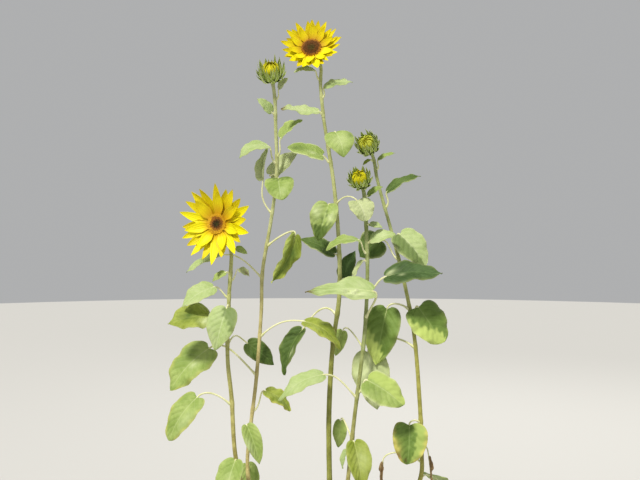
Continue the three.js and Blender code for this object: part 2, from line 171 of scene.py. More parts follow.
# %% A small helper that places nodes and joins them
class Nodes:
    def __init__(self, tree):
        self.tree = tree

    def add(self, kind, settings=None, **inputs):
        node = self.tree.nodes.new(kind)
        for key, value in (settings or {}).items():
            setattr(node, key, value)
        for key, value in inputs.items():
            self.feed(node.inputs[key.replace("_", " ")], value)
        return node

    def feed(self, socket, value):
        if isinstance(value, bpy.types.NodeSocket):
            self.tree.links.new(value, socket)
        else:
            socket.default_value = value

    def calc(self, operation, *values):
        node = self.tree.nodes.new("ShaderNodeMath")
        node.operation = operation
        for socket, value in zip(node.inputs, values):
            self.feed(socket, value)
        return node.outputs[0]

    def ramp(self, value, low, high, out_low=0.0, out_high=1.0):
        node = self.tree.nodes.new("ShaderNodeMapRange")
        node.interpolation_type = "SMOOTHSTEP"
        for socket, given in zip(node.inputs, (value, low, high, out_low, out_high)):
            self.feed(socket, given)
        return node.outputs[0]

    def blend(self, amount, first, second):
        node = self.tree.nodes.new("ShaderNodeMix")
        node.data_type = "RGBA"
        self.feed(node.inputs["Factor"], amount)
        self.feed(node.inputs["A"], first)
        self.feed(node.inputs["B"], second)
        return node.outputs["Result"]


def new_group(name, inputs, outputs):
    tree = bpy.data.node_groups.new(name, "ShaderNodeTree")
    for label, kind, value in inputs:
        socket = tree.interface.new_socket(name=label, in_out="INPUT", socket_type=kind)
        if value is not None:
            socket.default_value = value
    for label, kind in outputs:
        tree.interface.new_socket(name=label, in_out="OUTPUT", socket_type=kind)
    start = tree.nodes.new("NodeGroupInput")
    end = tree.nodes.new("NodeGroupOutput")
    return Nodes(tree), start.outputs, end.inputs


FLOAT = "NodeSocketFloat"
COLOUR = "NodeSocketColor"
PLACE = "NodeSocketVector"

# %% [markdown]
# ### Leaf veins
# A sunflower leaf has a strong midrib and side veins that sweep towards the tip, and the leaf
# puffs up a little between them. The pattern could be painted or modelled. Here it is worked out
# from where a point lies on the blade, across from -1 to 1 and along from 0 to 1, so that every
# leaf gets veins that fit its own outline. A cell pattern draws the fine network between them.

# %% Leaf veins group
SIDE_VEIN_SHARE = 0.42
SIDE_VEIN_STRENGTH = 0.75
MIDRIB_SHARE = 0.5
NETWORK_STRETCH = (9, 16, 1)
NETWORK_SCALE = 1.6
NETWORK_LINE = 0.16

vein_kit, vein_in, vein_out = new_group(
    "leaf veins",
    [("Blade place", PLACE, None), ("Side veins", FLOAT, 7.0), ("Vein width", FLOAT, 0.2),
     ("Sweep", FLOAT, 0.3), ("Bow", FLOAT, 1.2)],
    [("Vein", FLOAT), ("Puff", FLOAT), ("Network", FLOAT)])
split = vein_kit.add("ShaderNodeSeparateXYZ", Vector=vein_in["Blade place"])
spread = vein_kit.calc("ABSOLUTE", split.outputs["X"])
along = split.outputs["Y"]
bowed = vein_kit.calc("POWER", spread, vein_in["Bow"])
front = vein_kit.calc("SUBTRACT", along, vein_kit.calc("MULTIPLY", bowed, vein_in["Sweep"]))
step = vein_kit.calc("FRACT", vein_kit.calc("MULTIPLY", front, vein_in["Side veins"]))
near = vein_kit.calc("ABSOLUTE", vein_kit.calc("SUBTRACT", step, 0.5))
side_width = vein_kit.calc("MULTIPLY", vein_in["Vein width"], SIDE_VEIN_SHARE)
side_vein = vein_kit.ramp(near, 0.0, side_width, 1.0, 0.0)
side_fade = vein_kit.ramp(spread, 0.55, 1.0, 1.0, 0.15)
side_vein = vein_kit.calc("MULTIPLY", side_vein, side_fade)
rib_width = vein_kit.calc("MULTIPLY", vein_in["Vein width"], MIDRIB_SHARE)
midrib = vein_kit.ramp(spread, 0.0, rib_width, 1.0, 0.0)
side_vein = vein_kit.calc("MULTIPLY", side_vein, SIDE_VEIN_STRENGTH)
vein = vein_kit.calc("MAXIMUM", midrib, side_vein)
vein_kit.feed(vein_out["Vein"], vein)
vein_kit.feed(vein_out["Puff"], vein_kit.ramp(near, 0.0, 0.5))
stretch = vein_kit.add("ShaderNodeVectorMath", {"operation": "MULTIPLY"})
vein_kit.feed(stretch.inputs[0], vein_in["Blade place"])
stretch.inputs[1].default_value = NETWORK_STRETCH
cells = vein_kit.add("ShaderNodeTexVoronoi", {"feature": "DISTANCE_TO_EDGE"},
                     Vector=stretch.outputs[0], Scale=NETWORK_SCALE)
network = vein_kit.ramp(cells.outputs["Distance"], 0.0, NETWORK_LINE)
vein_kit.feed(vein_out["Network"], network)
print("group", vein_kit.tree.name, len(vein_kit.tree.nodes), "nodes")

# %% [markdown]
# ### Patchy tint
# No living surface is one flat colour. This group mixes two tints by two sizes of soft noise. A
# higher Fineness makes the patches smaller, and Seed shifts the noise so that no two finishes are
# alike.

# %% Patchy tint group
FINE_TIMES = 7.0
BROAD_SHARE = 0.7
FINE_SHARE = 0.3
DEEP_BELOW = 0.3
LIGHT_ABOVE = 0.7

tint_kit, tint_in, tint_out = new_group(
    "patchy tint",
    [("Place", PLACE, None), ("Fineness", FLOAT, 40.0), ("Seed", FLOAT, 0.0),
     ("Light tint", COLOUR, (0.5, 0.5, 0.5, 1)), ("Deep tint", COLOUR, (0.2, 0.2, 0.2, 1)),
     ("Contrast", FLOAT, 1.0)],
    [("Tint", COLOUR), ("Patches", FLOAT)])
shift = tint_kit.add("ShaderNodeVectorMath", {"operation": "ADD"})
tint_kit.feed(shift.inputs[0], tint_in["Place"])
tint_kit.feed(shift.inputs[1], tint_in["Seed"])
broad = tint_kit.add("ShaderNodeTexNoise", Vector=shift.outputs[0], Detail=3.0,
                     Scale=tint_in["Fineness"])
fine_scale = tint_kit.calc("MULTIPLY", tint_in["Fineness"], FINE_TIMES)
fine = tint_kit.add("ShaderNodeTexNoise", Vector=shift.outputs[0], Detail=2.0, Scale=fine_scale)
both = tint_kit.calc("ADD", tint_kit.calc("MULTIPLY", broad.outputs["Fac"], BROAD_SHARE),
                     tint_kit.calc("MULTIPLY", fine.outputs["Fac"], FINE_SHARE))
centred = tint_kit.calc("MULTIPLY", tint_kit.calc("SUBTRACT", both, 0.5), tint_in["Contrast"])
patches = tint_kit.ramp(tint_kit.calc("ADD", centred, 0.5), DEEP_BELOW, LIGHT_ABOVE)
tint_kit.feed(tint_out["Patches"], patches)
tint_kit.feed(tint_out["Tint"], tint_kit.blend(patches, tint_in["Deep tint"],
                                               tint_in["Light tint"]))
print("group", tint_kit.tree.name, len(tint_kit.tree.nodes), "nodes")

# %% [markdown]
# ### Fine ribs
# Rays, bracts and stems are finely ribbed lengthwise. The group counts ribs across a piece and
# gives a soft wave for the height of each.

# %% Fine ribs group
rib_kit, rib_in, rib_out = new_group(
    "fine ribs",
    [("Blade place", PLACE, None), ("Ribs", FLOAT, 6.0), ("Waver", FLOAT, 0.3)],
    [("Rib", FLOAT)])
rib_noise = rib_kit.add("ShaderNodeTexNoise", Vector=rib_in["Blade place"], Scale=5.0)
rib_split = rib_kit.add("ShaderNodeSeparateXYZ", Vector=rib_in["Blade place"])
drift = rib_kit.calc("MULTIPLY", rib_noise.outputs["Fac"], rib_in["Waver"])
count = rib_kit.calc("MULTIPLY", rib_split.outputs["X"], rib_in["Ribs"])
wave = rib_kit.calc("SINE", rib_kit.calc("MULTIPLY", rib_kit.calc("ADD", count, drift), math.tau))
rib_kit.feed(rib_out["Rib"], rib_kit.ramp(wave, -1.0, 1.0))
print("group", rib_kit.tree.name, len(rib_kit.tree.nodes), "nodes")

# %% [markdown]
# ## Finishes
# Every finish is a matt plant surface: a patchy tint, a pattern that follows the piece, a bump
# from the same pattern and a little light let through thin leaves. The blade place comes from the
# piece's own UV map, and a leaf's marks, such as a withered tip, from values in its points.


# %% The frame of a plant finish
def new_finish(name):
    material = bpy.data.materials.new(name)
    material.use_nodes = True
    kit = Nodes(material.node_tree)
    shader = material.node_tree.nodes["Principled BSDF"]
    blade = kit.add("ShaderNodeUVMap", {"uv_map": "blade"}).outputs["UV"]
    place = kit.add("ShaderNodeTexCoord").outputs["Object"]
    return material, kit, shader, blade, place


def use_group(kit, group_kit, **inputs):
    node = kit.tree.nodes.new("ShaderNodeGroup")
    node.node_tree = group_kit.tree
    for key, value in inputs.items():
        kit.feed(node.inputs[key.replace("_", " ")], value)
    return node.outputs


PLAIN_SHINE = 0.5
BUMP_STRENGTH = 0.6


def coat(kit, shader, colour, roughness, shine=PLAIN_SHINE):
    kit.feed(shader.inputs["Base Color"], colour)
    shader.inputs["Roughness"].default_value = roughness
    shader.inputs["Specular IOR Level"].default_value = shine


def bump(kit, shader, height, distance, strength=BUMP_STRENGTH):
    node = kit.add("ShaderNodeBump", Height=height, Strength=strength, Distance=distance)
    kit.feed(shader.inputs["Normal"], node.outputs["Normal"])


def let_light_through(kit, shader, colour, share):
    glow = kit.add("ShaderNodeBsdfTranslucent", Color=colour)
    both_sides = kit.add("ShaderNodeMixShader", Fac=share)
    kit.feed(both_sides.inputs[1], shader.outputs["BSDF"])
    kit.feed(both_sides.inputs[2], glow.outputs["BSDF"])
    kit.feed(kit.tree.nodes["Material Output"].inputs["Surface"], both_sides.outputs[0])


# %% [markdown]
# ### Leaf faces
# The upper face is fresher green with sunken pale veins, and the underside is paler and duller
# with raised veins. Leaves on one plant differ, from deep green to the cream of a faded one, so
# each tone below is a light and a deep tint with its own vein colour. The dark, middle and deep
# tones are partly painted shade, darker greens for leaves that lay in shade, and the cream tone is
# partly painted light on leaves that others shade. Marks, such as a yellowed margin, are painted
# over the tone, a later one over an earlier one.

# %% Leaf tones
LEAF_TONES = {
    "fresh": (paint(176, 194, 114), paint(138, 162, 78), paint(206, 216, 160)),
    "pale": (paint(190, 205, 146), paint(166, 187, 116), paint(218, 225, 184)),
    # This tone is partly painted light, on leaves that lie in the shade of others.
    "cream": (paint(204, 212, 162), paint(176, 189, 130), paint(226, 230, 196)),
    # The next three tones are partly painted shade, darker greens for leaves that lay in shade.
    "dark": (paint(104, 128, 62), paint(74, 98, 42), paint(146, 168, 100)),
    "middle": (paint(124, 150, 72), paint(94, 120, 48), paint(160, 182, 106)),
    "deep": (paint(86, 112, 62), paint(60, 84, 40), paint(122, 148, 92)),
    "yellow": (paint(176, 188, 88), paint(132, 148, 48), paint(206, 214, 128)),
}
MARKS = {
    # The first mark is painted sunlight and the second painted shade, laid where the sun and the
    # shadows of other leaves fell. The third is partly pale margins and spots, and partly painted
    # light and highlights. Yellowed and withered are the leaf's own colours.
    "painted_sunlight": paint(190, 208, 112),
    "painted_shade": paint(82, 106, 44),
    "bleached_and_painted_light": paint(212, 222, 170),
    "yellowed": paint(206, 198, 104),
    "withered": paint(112, 84, 52),
}
SIDE_VEINS = 6.5
VEIN_SWEEP = 0.34
VEIN_BOW = 1.35


# %% Leaf finishes
UPPER = {"vein width": 0.12, "vein share": 0.42, "roughness": 0.6, "puff": 0.7, "vein lift": -0.5}
UNDER = {"vein width": 0.2, "vein share": 0.65, "roughness": 0.8, "puff": 0.3, "vein lift": 0.9}
UNDER_PALER = 0.12
NETWORK_SHADE = 0.14
NETWORK_LIFT = 0.25
LEAF_SHINE = 0.22
LEAF_RELIEF = 0.5
LEAF_GLOW = 0.18
SEED_STEP = 3.1


def leaf_finish(name, tints, face, seed):
    light, deep, vein_colour = tints
    material, kit, shader, blade, place = new_finish(name)
    tint = use_group(kit, tint_kit, Place=place, Fineness=26.0, Seed=seed,
                     Light_tint=light, Deep_tint=deep, Contrast=1.1)
    veins = use_group(kit, vein_kit, Blade_place=blade, Side_veins=SIDE_VEINS,
                      Vein_width=face["vein width"], Sweep=VEIN_SWEEP, Bow=VEIN_BOW)
    shade = kit.blend(kit.calc("MULTIPLY", veins["Network"], NETWORK_SHADE), tint["Tint"], deep)
    colour = kit.blend(kit.calc("MULTIPLY", veins["Vein"], face["vein share"]), shade, vein_colour)
    # The marks are laid over the tone in turn, with painted sunlight and painted shade among them.
    for mark, mark_colour in MARKS.items():
        share = kit.add("ShaderNodeAttribute", {"attribute_name": mark}).outputs["Fac"]
        colour = kit.blend(share, colour, mark_colour)
    coat(kit, shader, colour, face["roughness"], LEAF_SHINE)
    puff = kit.calc("MULTIPLY", veins["Puff"], face["puff"])
    raised = kit.calc("MULTIPLY", veins["Vein"], face["vein lift"])
    grain = kit.calc("MULTIPLY", veins["Network"], NETWORK_LIFT)
    bump(kit, shader, kit.calc("ADD", kit.calc("ADD", puff, raised), grain), LEAF_RELIEF * MM)
    let_light_through(kit, shader, light, LEAF_GLOW)
    return material


def paler(colour, share):
    return tuple(c + (1 - c) * share for c in colour[:3]) + (1.0,)


leaf_finishes = {}
for number, (tone, tints) in enumerate(LEAF_TONES.items()):
    under = tuple(paler(tint, UNDER_PALER) for tint in tints)
    seed = number * SEED_STEP
    leaf_finishes[tone] = (leaf_finish(f"{tone} leaf face", tints, UPPER, seed),
                           leaf_finish(f"{tone} leaf underside", under, UNDER, seed + 1))
print("leaf finishes", sorted(leaf_finishes))


# %% [markdown]
# ### Stems and stalks
# Fresh stems are pale yellow-green high up, more olive or brown low down, and ribbed lengthwise.
# Leaf stalks are smoother and creamier. One recipe serves every such skin, down to the bristles and
# the receptacle that carries a head, and a stem's tints change over a stretch of its height.

# %% Stem, stalk and dry finishes
SKIN_SHINE = 0.3
RIB_SHADE = 0.22
RIB_LIFT = 0.8
SPECKLE_SCALE = 900.0
SPECKLE_LIFT = 0.5


def skin_finish(name, light, deep, ribs, roughness, relief, seed, low=None):
    material, kit, shader, blade, place = new_finish(name)
    if low:
        level = kit.add("ShaderNodeSeparateXYZ", Vector=place).outputs["Z"]
        change = kit.ramp(level, low["from"] * MM, low["to"] * MM)
        light = kit.blend(change, low["light"], light)
        deep = kit.blend(change, low["deep"], deep)
    tint = use_group(kit, tint_kit, Place=place, Fineness=60.0, Seed=seed,
                     Light_tint=light, Deep_tint=deep, Contrast=1.3)
    rib = use_group(kit, rib_kit, Blade_place=blade, Ribs=ribs, Waver=0.6)["Rib"]
    colour = kit.blend(kit.calc("MULTIPLY", rib, RIB_SHADE), tint["Tint"], deep)
    coat(kit, shader, colour, roughness, SKIN_SHINE)
    cells = kit.add("ShaderNodeTexVoronoi", Vector=place, Scale=SPECKLE_SCALE)
    speckle = kit.calc("MULTIPLY", cells.outputs["Distance"], SPECKLE_LIFT)
    height = kit.calc("ADD", kit.calc("MULTIPLY", rib, RIB_LIFT), speckle)
    bump(kit, shader, height, relief * MM)
    return material


# light and deep tint at the top, light and deep tint low down, height of the change
STEM_TINTS = {
    "main": ((192, 196, 136), (158, 162, 100), (150, 152, 76), (116, 118, 48), 660),
    "left": ((190, 192, 126), (150, 152, 84), (186, 178, 108), (142, 132, 68), 500),
    "left_rear": ((194, 198, 146), (164, 168, 110), (198, 186, 128), (164, 150, 92), 700),
    "centre": ((162, 172, 116), (128, 138, 78), (172, 166, 102), (134, 126, 62), 440),
    "right": ((174, 182, 122), (142, 150, 88), (176, 172, 90), (138, 134, 56), 640),
}
CHANGE_REACH = 160
stem_finishes = {}
for number, (name, (top, top_deep, low, low_deep, change)) in enumerate(STEM_TINTS.items()):
    stem_finishes[name] = skin_finish(
        f"{name} stem", paint(*top), paint(*top_deep), ribs=9.0, roughness=0.55, relief=0.5,
        seed=number * 1.7, low={"light": paint(*low), "deep": paint(*low_deep),
                                "from": change - CHANGE_REACH, "to": change + CHANGE_REACH})
stalk_finish = skin_finish("leaf stalk", paint(232, 230, 188), paint(204, 206, 146),
                           ribs=5.0, roughness=0.5, relief=0.3, seed=4.0)
dry_finish = skin_finish("dry leaf", paint(194, 170, 122), paint(136, 108, 72),
                         ribs=7.0, roughness=0.85, relief=1.2, seed=6.0)
leaf_finishes["dry"] = (dry_finish, dry_finish)
hair_finish = skin_finish("stem bristle", paint(238, 240, 220), paint(214, 220, 180),
                          ribs=1.0, roughness=0.5, relief=0.1, seed=8.0)
receptacle_finish = skin_finish("receptacle", paint(160, 180, 86), paint(118, 142, 52),
                                ribs=9.0, roughness=0.7, relief=0.4, seed=9.0)
print("stem finishes", sorted(stem_finishes))


# %% [markdown]
# ### Rays and bracts
# A ray is clear yellow, deeper and more orange towards the disc, and finely ribbed. A bract is
# leafy green with a pale, hairy edge. Both are thin blades that let some light through, so one
# recipe makes them, and a row of paints and sizes tells them apart.

# %% Ray and bract finishes
BLADE_ROUGHNESS = 0.5
BLADE_SHINE = 0.2
BLADE_RELIEF = 0.4
BLADE_RIB_SHADE = 0.3

# tip, middle and foot paint, how far the foot's paint reaches, ribs, light let through, edge
BLADE_PAINTS = {
    "ray": ((248, 240, 22), (242, 228, 10), (218, 164, 12), 0.38, 2.5, 0.14, None),
    # This ray finish is painted shade: a deeper gold for the front rays that point up.
    "painted shade ray": ((244, 230, 18), (228, 208, 10), (198, 150, 14), 0.7, 2.5, 0.14, None),
    "back ray": ((238, 224, 16), (222, 202, 10), (196, 156, 10), 0.5, 2.5, 0.14, None),
    "bract": ((186, 204, 100), (150, 172, 66), (112, 138, 46), 0.4, 2.0, 0.14, (222, 230, 168)),
    "pale bract": ((204, 218, 126), (168, 188, 82), (124, 150, 52), 0.4, 2.0, 0.14,
                   (230, 236, 188)),
    "bud ray": ((240, 232, 44), (222, 214, 26), (170, 178, 40), 0.5, 1.5, 0.12, None),
    "green bud ray": ((222, 224, 84), (184, 194, 58), (140, 160, 48), 0.6, 1.5, 0.14, None),
}


def blade_finish(name, tip, middle, foot, foot_reach, ribs, glow, edge):
    material, kit, shader, blade, place = new_finish(name)
    parts = kit.add("ShaderNodeSeparateXYZ", Vector=blade)
    tint = use_group(kit, tint_kit, Place=place, Fineness=55.0, Light_tint=paint(*tip),
                     Deep_tint=paint(*middle), Contrast=1.2)
    rib = use_group(kit, rib_kit, Blade_place=blade, Ribs=ribs, Waver=0.12)["Rib"]
    ribbed = kit.calc("MULTIPLY", rib, BLADE_RIB_SHADE)
    colour = kit.blend(ribbed, tint["Tint"], paint(*middle))
    footed = kit.ramp(parts.outputs["Y"], 0.0, foot_reach, 1.0, 0.0)
    colour = kit.blend(footed, colour, paint(*foot))
    if edge:
        edged = kit.ramp(kit.calc("ABSOLUTE", parts.outputs["X"]), 0.5, 0.95)
        colour = kit.blend(edged, colour, paint(*edge))
    coat(kit, shader, colour, BLADE_ROUGHNESS, BLADE_SHINE)
    bump(kit, shader, rib, BLADE_RELIEF * MM)
    let_light_through(kit, shader, paint(*tip), glow)
    return material


blade_finishes = {name: blade_finish(name, *row) for name, row in BLADE_PAINTS.items()}
print("blade finishes", sorted(blade_finishes))

# %% [markdown]
# ### Florets
# The disc ripens from its rim inwards, so its florets run from golden through brown to nearly
# black. Each floret is far too small for a pattern, and a patchy tint is enough.

# %% Floret finishes
FLORET_ROUGHNESS = 0.72
FLORET_RELIEF = 0.3
FLORET_BUMP = 0.4


def floret_finish(name, light, deep, seed):
    material, kit, shader, _, place = new_finish(name)
    tint = use_group(kit, tint_kit, Place=place, Fineness=420.0, Seed=seed,
                     Light_tint=light, Deep_tint=deep, Contrast=1.8)
    coat(kit, shader, tint["Tint"], FLORET_ROUGHNESS)
    bump(kit, shader, tint["Patches"], FLORET_RELIEF * MM, FLORET_BUMP)
    return material


FLORET_FINISHES = {
    "golden": floret_finish("golden floret", paint(232, 192, 30), paint(204, 154, 20), 5.0),
    "orange": floret_finish("open floret", paint(192, 134, 38), paint(158, 98, 24), 0.0),
    "brown": floret_finish("brown floret", paint(140, 92, 36), paint(102, 62, 22), 1.0),
    "dark": floret_finish("closed floret", paint(94, 66, 30), paint(58, 40, 18), 2.0),
    "olive": floret_finish("centre floret", paint(130, 102, 50), paint(92, 68, 30), 3.0),
    "lime": floret_finish("bud floret", paint(232, 224, 52), paint(186, 190, 36), 4.0),
}
print("finishes", len(bpy.data.materials))

# %% [markdown]
# ## Growing shapes
# A plant is made of bent tubes and thin blades, so two ways of making them serve everywhere: a
# grid of points for a blade, and a ring of points carried along a curve for a tube. Curves and
# modifiers could do the same. Plain grids are used because they carry each point's place on the
# blade, and its marks, into the finishes. A grid that runs around is a tube, and its two open
# ends are closed with a flat face each.


# %% A shape gathers grids and becomes one object
class Shape:
    def __init__(self):
        self.points = []
        self.faces = []
        self.slots = []
        self.places = []
        self.marks = {name: [] for name in MARKS}

    def face(self, indices, slot, places):
        self.faces.append(indices)
        self.slots.append(slot)
        self.places.extend(places)

    def grid(self, points, slot, around=False, place=None, flip=False, marks=None):
        rows, columns = points.shape[:2]
        first = len(self.points)
        self.points.extend(points.reshape(-1, 3).tolist())
        for name, values in self.marks.items():
            given = (marks or {}).get(name)
            values.extend(np.zeros(rows * columns) if given is None else given.ravel())
        for r in range(rows - 1):
            for c in range(columns if around else columns - 1):
                corners = [(r, c), (r, c + 1), (r + 1, c + 1), (r + 1, c)]
                if flip:
                    corners.reverse()
                self.face([first + i * columns + j % columns for i, j in corners], slot,
                          [place[i, j] if place is not None else (j / columns, i / (rows - 1))
                           for i, j in corners])
        if around:
            last = first + (rows - 1) * columns
            self.face(list(range(first + columns - 1, first - 1, -1)), slot,
                      [(0.5, 0.0)] * columns)
            self.face(list(range(last, last + columns)), slot, [(0.5, 1.0)] * columns)

    def build(self, name, materials):
        mesh = bpy.data.meshes.new(name)
        mesh.from_pydata((np.array(self.points) * MM).tolist(), [], self.faces)
        for material in materials:
            mesh.materials.append(material)
        mesh.polygons.foreach_set("material_index", self.slots)
        mesh.polygons.foreach_set("use_smooth", [len(face) == 4 for face in self.faces])
        layer = mesh.uv_layers.new(name="blade")
        layer.data.foreach_set("uv", np.array(self.places, dtype=float).ravel())
        for mark, values in self.marks.items():
            attribute = mesh.attributes.new(mark, "FLOAT", "POINT")
            attribute.data.foreach_set("value", np.array(values, dtype=float))
        piece = bpy.data.objects.new(name, mesh)
        bpy.context.collection.objects.link(piece)
        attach(piece, "root")
        return piece


# %% [markdown]
# ### Points and directions
# Sizes are easier to follow when a few words stand for the sums: a unit vector has length one,
# square_to tilts a direction until it stands square to another, and a smooth step rises gently
# from 0 to 1 between two values, as Blender's own does.


# %% Vector helpers
def vec(xyz):
    return np.array(xyz, dtype=float)


def unit(vector):
    return vector / np.linalg.norm(vector, axis=-1, keepdims=True)


def square_to(direction, tangent):
    return unit(direction - tangent * np.sum(direction * tangent, axis=-1, keepdims=True))


def mix(a, b, t):
    return a + (b - a) * t


def smooth_step(value, low, high):
    t = np.clip((value - low) / (high - low), 0, 1)
    return t * t * (3 - 2 * t)


UP = vec((0, 0, 1))
FRONT = vec((0.02, -1, 0.03))

# %% [markdown]
# ### Tubes and smooth lines
# Stems, necks and stalks are tubes. A ring of points moves along a line, and at each step its own
# up is squared to the line again, so the tube never twists. A stem's line runs through a few
# given points in the way that a thin rod would bend, with the same curve on both sides of each
# point, and is then cut into even steps.


# %% A tube carries a ring along a line of points
def tube_grid(line, radii, sides, start_up=FRONT):
    tangents = unit(np.gradient(line, axis=0))
    up = square_to(start_up, tangents[0])
    ring_turns = np.arange(sides) / sides * math.tau
    rings = []
    for point, tangent, radius in zip(line, tangents, radii):
        up = square_to(up, tangent)
        side = np.cross(up, tangent)
        ring = np.outer(np.cos(ring_turns), side) + np.outer(np.sin(ring_turns), up)
        rings.append(point + ring * radius)
    return np.array(rings)


# %% A smooth line through a few points, with evenly spaced samples
LINE_STEP = 2.0
SPAN_SAMPLES = 60
FEWEST_POINTS = 8


def smooth_line(through):
    knots = np.array(through, dtype=float)
    knots = np.vstack([2 * knots[0] - knots[1], knots, 2 * knots[-1] - knots[-2]])
    samples = []
    for k in range(1, len(knots) - 2):
        p0, p1, p2, p3 = knots[k - 1:k + 3]
        d0, d1, d2 = [np.sqrt(np.linalg.norm(b - a)) for a, b in ((p0, p1), (p1, p2), (p2, p3))]
        t1 = ((p1 - p0) / d0 - (p2 - p0) / (d0 + d1) + (p2 - p1) / d1) * d1
        t2 = ((p2 - p1) / d1 - (p3 - p1) / (d1 + d2) + (p3 - p2) / d2) * d1
        s = np.linspace(0, 1, SPAN_SAMPLES, endpoint=False)[:, None]
        samples.append(p1 + t1 * s + (-3 * p1 + 3 * p2 - 2 * t1 - t2) * s ** 2
                       + (2 * p1 - 2 * p2 + t1 + t2) * s ** 3)
    samples.append(knots[-2][None])
    dense = np.vstack(samples)
    gone = np.concatenate([[0], np.cumsum(np.linalg.norm(np.diff(dense, axis=0), axis=1))])
    even = np.linspace(0, gone[-1], max(FEWEST_POINTS, int(gone[-1] / LINE_STEP)))
    return np.stack([np.interp(even, gone, dense[:, axis]) for axis in range(3)], axis=1)


def point_at_height(line, height):
    share = float(np.interp(height, line[:, 2], np.linspace(0, 1, len(line))))
    index = share * (len(line) - 1)
    point = vec([np.interp(index, np.arange(len(line)), line[:, axis]) for axis in range(3)])
    near = min(max(int(round(index)), 1), len(line) - 2)
    return point, share, unit(line[near + 1] - line[near - 1])


# %% [markdown]
# ## Stems
# The thick middle stem goes straight down to the root, where it flares. The others fork from it,
# or from each other, bend out and run up beside it. Each is given by the few points that it is
# bent through. A tube is carried along, a little thicker at every leaf joint, and the two lengths
# of a stem that its solids split at a bend are one piece here.

# %% Stem sizes
# radius at the foot and at the top, the stem and height that it forks from, its points
STEMS = {
    "main": {"radius": (6.2, 3.3), "through": [
        (0, 0, 0), (1, 0, 120), (-1, 0, 290), (-2, 0, 422), (6, 0, 562), (18, 2, 650),
        (19, 2, 736), (9, 0, 870), (-13, -2, 1014)]},
    "left": {"radius": (5, 3.6), "fork": ("main", 62), "through": [
        (-46, -6, 108), (-98, -10, 162), (-144, -13, 222), (-175, -15, 286),
        (-188, -16, 348), (-195, -16, 456), (-203, -15, 536), (-200, -15, 664)]},
    "left_rear": {"radius": (3.7, 3.4), "fork": ("left", 250), "through": [
        (-166, 8, 318), (-161, 20, 388), (-150, 25, 482), (-139, 25, 630),
        (-137, 25, 704), (-119, 24, 812), (-108, 22, 902), (-110, 20, 1012)]},
    "centre": {"radius": (4.1, 3.6), "fork": ("main", 128), "through": [
        (22, -14, 176), (35, -16, 292), (47, -16, 408), (68, -15, 582),
        (74, -15, 700), (72, -15, 788)]},
    "right": {"radius": (5, 3.1), "fork": ("main", 78), "through": [
        (46, 8, 120), (102, 14, 172), (154, 18, 228), (184, 20, 290), (186, 20, 340),
        (181, 20, 456), (170, 20, 582), (150, 20, 687), (130, 20, 768), (102, 18, 868),
        (94, 17, 900)]},
}
STEM_NODES = {
    "main": ["stem_main"], "left": ["stem_left_arm", "stem_left"],
    "left_rear": ["stem_left_rear"], "centre": ["stem_centre"],
    "right": ["stem_right_arm", "stem_right"],
}
ROOT_FLARE = 5
ROOT_FLARE_HEIGHT = 34
FORK_CLEARANCE = 0.5
FORK_DROP = 9
print("stems", sorted(STEMS))

# %% [markdown]
# ### Stem lines
# A stem that forks begins on the skin of its parent, on the side that it bends to, and its root
# is carried down into the parent's middle. The lines are needed before the stems are made, as
# every leaf looks up its joint on one of them by height.


# %% Stem lines start at the fork
def stem_radius(name, share):
    low, high = STEMS[name]["radius"]
    return mix(low, high, share)


def root_flare(height):
    return ROOT_FLARE * np.exp(-(height / ROOT_FLARE_HEIGHT) ** 2)


stem_lines = {}
fork_roots = {}
for name, stem in STEMS.items():
    through = list(stem["through"])
    if "fork" in stem:
        parent, height = stem["fork"]
        joint, share, tangent = point_at_height(stem_lines[parent], height)
        outward = square_to(vec(through[0]) - joint, tangent)
        flare = root_flare(height) if parent == "main" else 0
        reach = stem_radius(parent, share) + flare + FORK_CLEARANCE
        through.insert(0, tuple(joint + outward * reach))
        fork_roots[name] = joint - tangent * FORK_DROP
    stem_lines[name] = smooth_line(through)
    print(name, "stem line", len(stem_lines[name]), "points")

# %% [markdown]
# ## Leaves
# Each leaf is one row of sizes: the height of its joint, where its blade starts and ends, its
# width, the way its upper face looks, its arch as a share of its length, its fold in degrees and
# its tone. Leaves could be scattered by chance, but a plant with a known look needs each leaf in
# its place. The rows are nearly the ones that the solids were made from.
#
# The last entry asks for what sets a leaf apart. Some of it is shape: blunt, narrow, ruffle,
# crumple and curl. The rest is marks, among them painted shade and painted light. A spot is its
# place along and across the blade, its size and its strength. A part covers all beyond a slanting
# line: it names the mark, then how much along and across count, where the line lies, and the
# strength.

# %% What a leaf row holds
Leaf = namedtuple("Leaf", "height base tip width face arch fold tone asked")
LEAVES = {}

# %% [markdown]
# ### The left stem's leaves
# Broad leaves in full sun, pale to yellow-green, that hang outwards. Others shade parts of them,
# and that shade is painted on.

# %% The left stem's leaves
LEAVES["left"] = [
    (656, (-30, -6, 21), (-58, -20, -38), 54, (-0.3, -0.7, 0.7), 0.1, 14, "pale", {}),
    (634, (0, -34, 4), (-20, -14, -80), 60, (-0.2, -1, 0.1), 0.1, 12, "pale",
     {"parts": [("painted_shade", -1, 0.4, -0.28, 0.65)]}),
    (606, (-36, -10, 16), (-76, -25, -16), 68, (-0.2, -0.75, 0.65), 0.08, 10, "yellow",
     {"painted_shade": [(0.5, -0.1, 0.5, 0.75)], "bleached_and_painted_light": [(0.15, 0.6, 0.3, 0.8)],
      "ruffle": 1.4}),
    (566, (34, 60, -8), (54, 8, -46), 44, (0.2, -1, 0.3), 0.1, 12, "dark", {}),
    (446, (-66, -15, 16), (-52, -15, -82), 55, (-0.3, -0.9, 0.3), 0.12, 10, "fresh",
     {"blunt": 0.8, "yellow": 0.5, "bleached_and_painted_light": [(0.5, 0.5, 0.4, 0.35)], "ruffle": 1.3}),
    (322, (-2, -16, 16), (-18, -20, -92), 58, (-0.4, -0.9, 0.1), 0.12, 18, "fresh",
     {"bleached_and_painted_light": [(0.4, 0, 0.3, 0.3)]}),
]
print("left leaves", len(LEAVES["left"]))
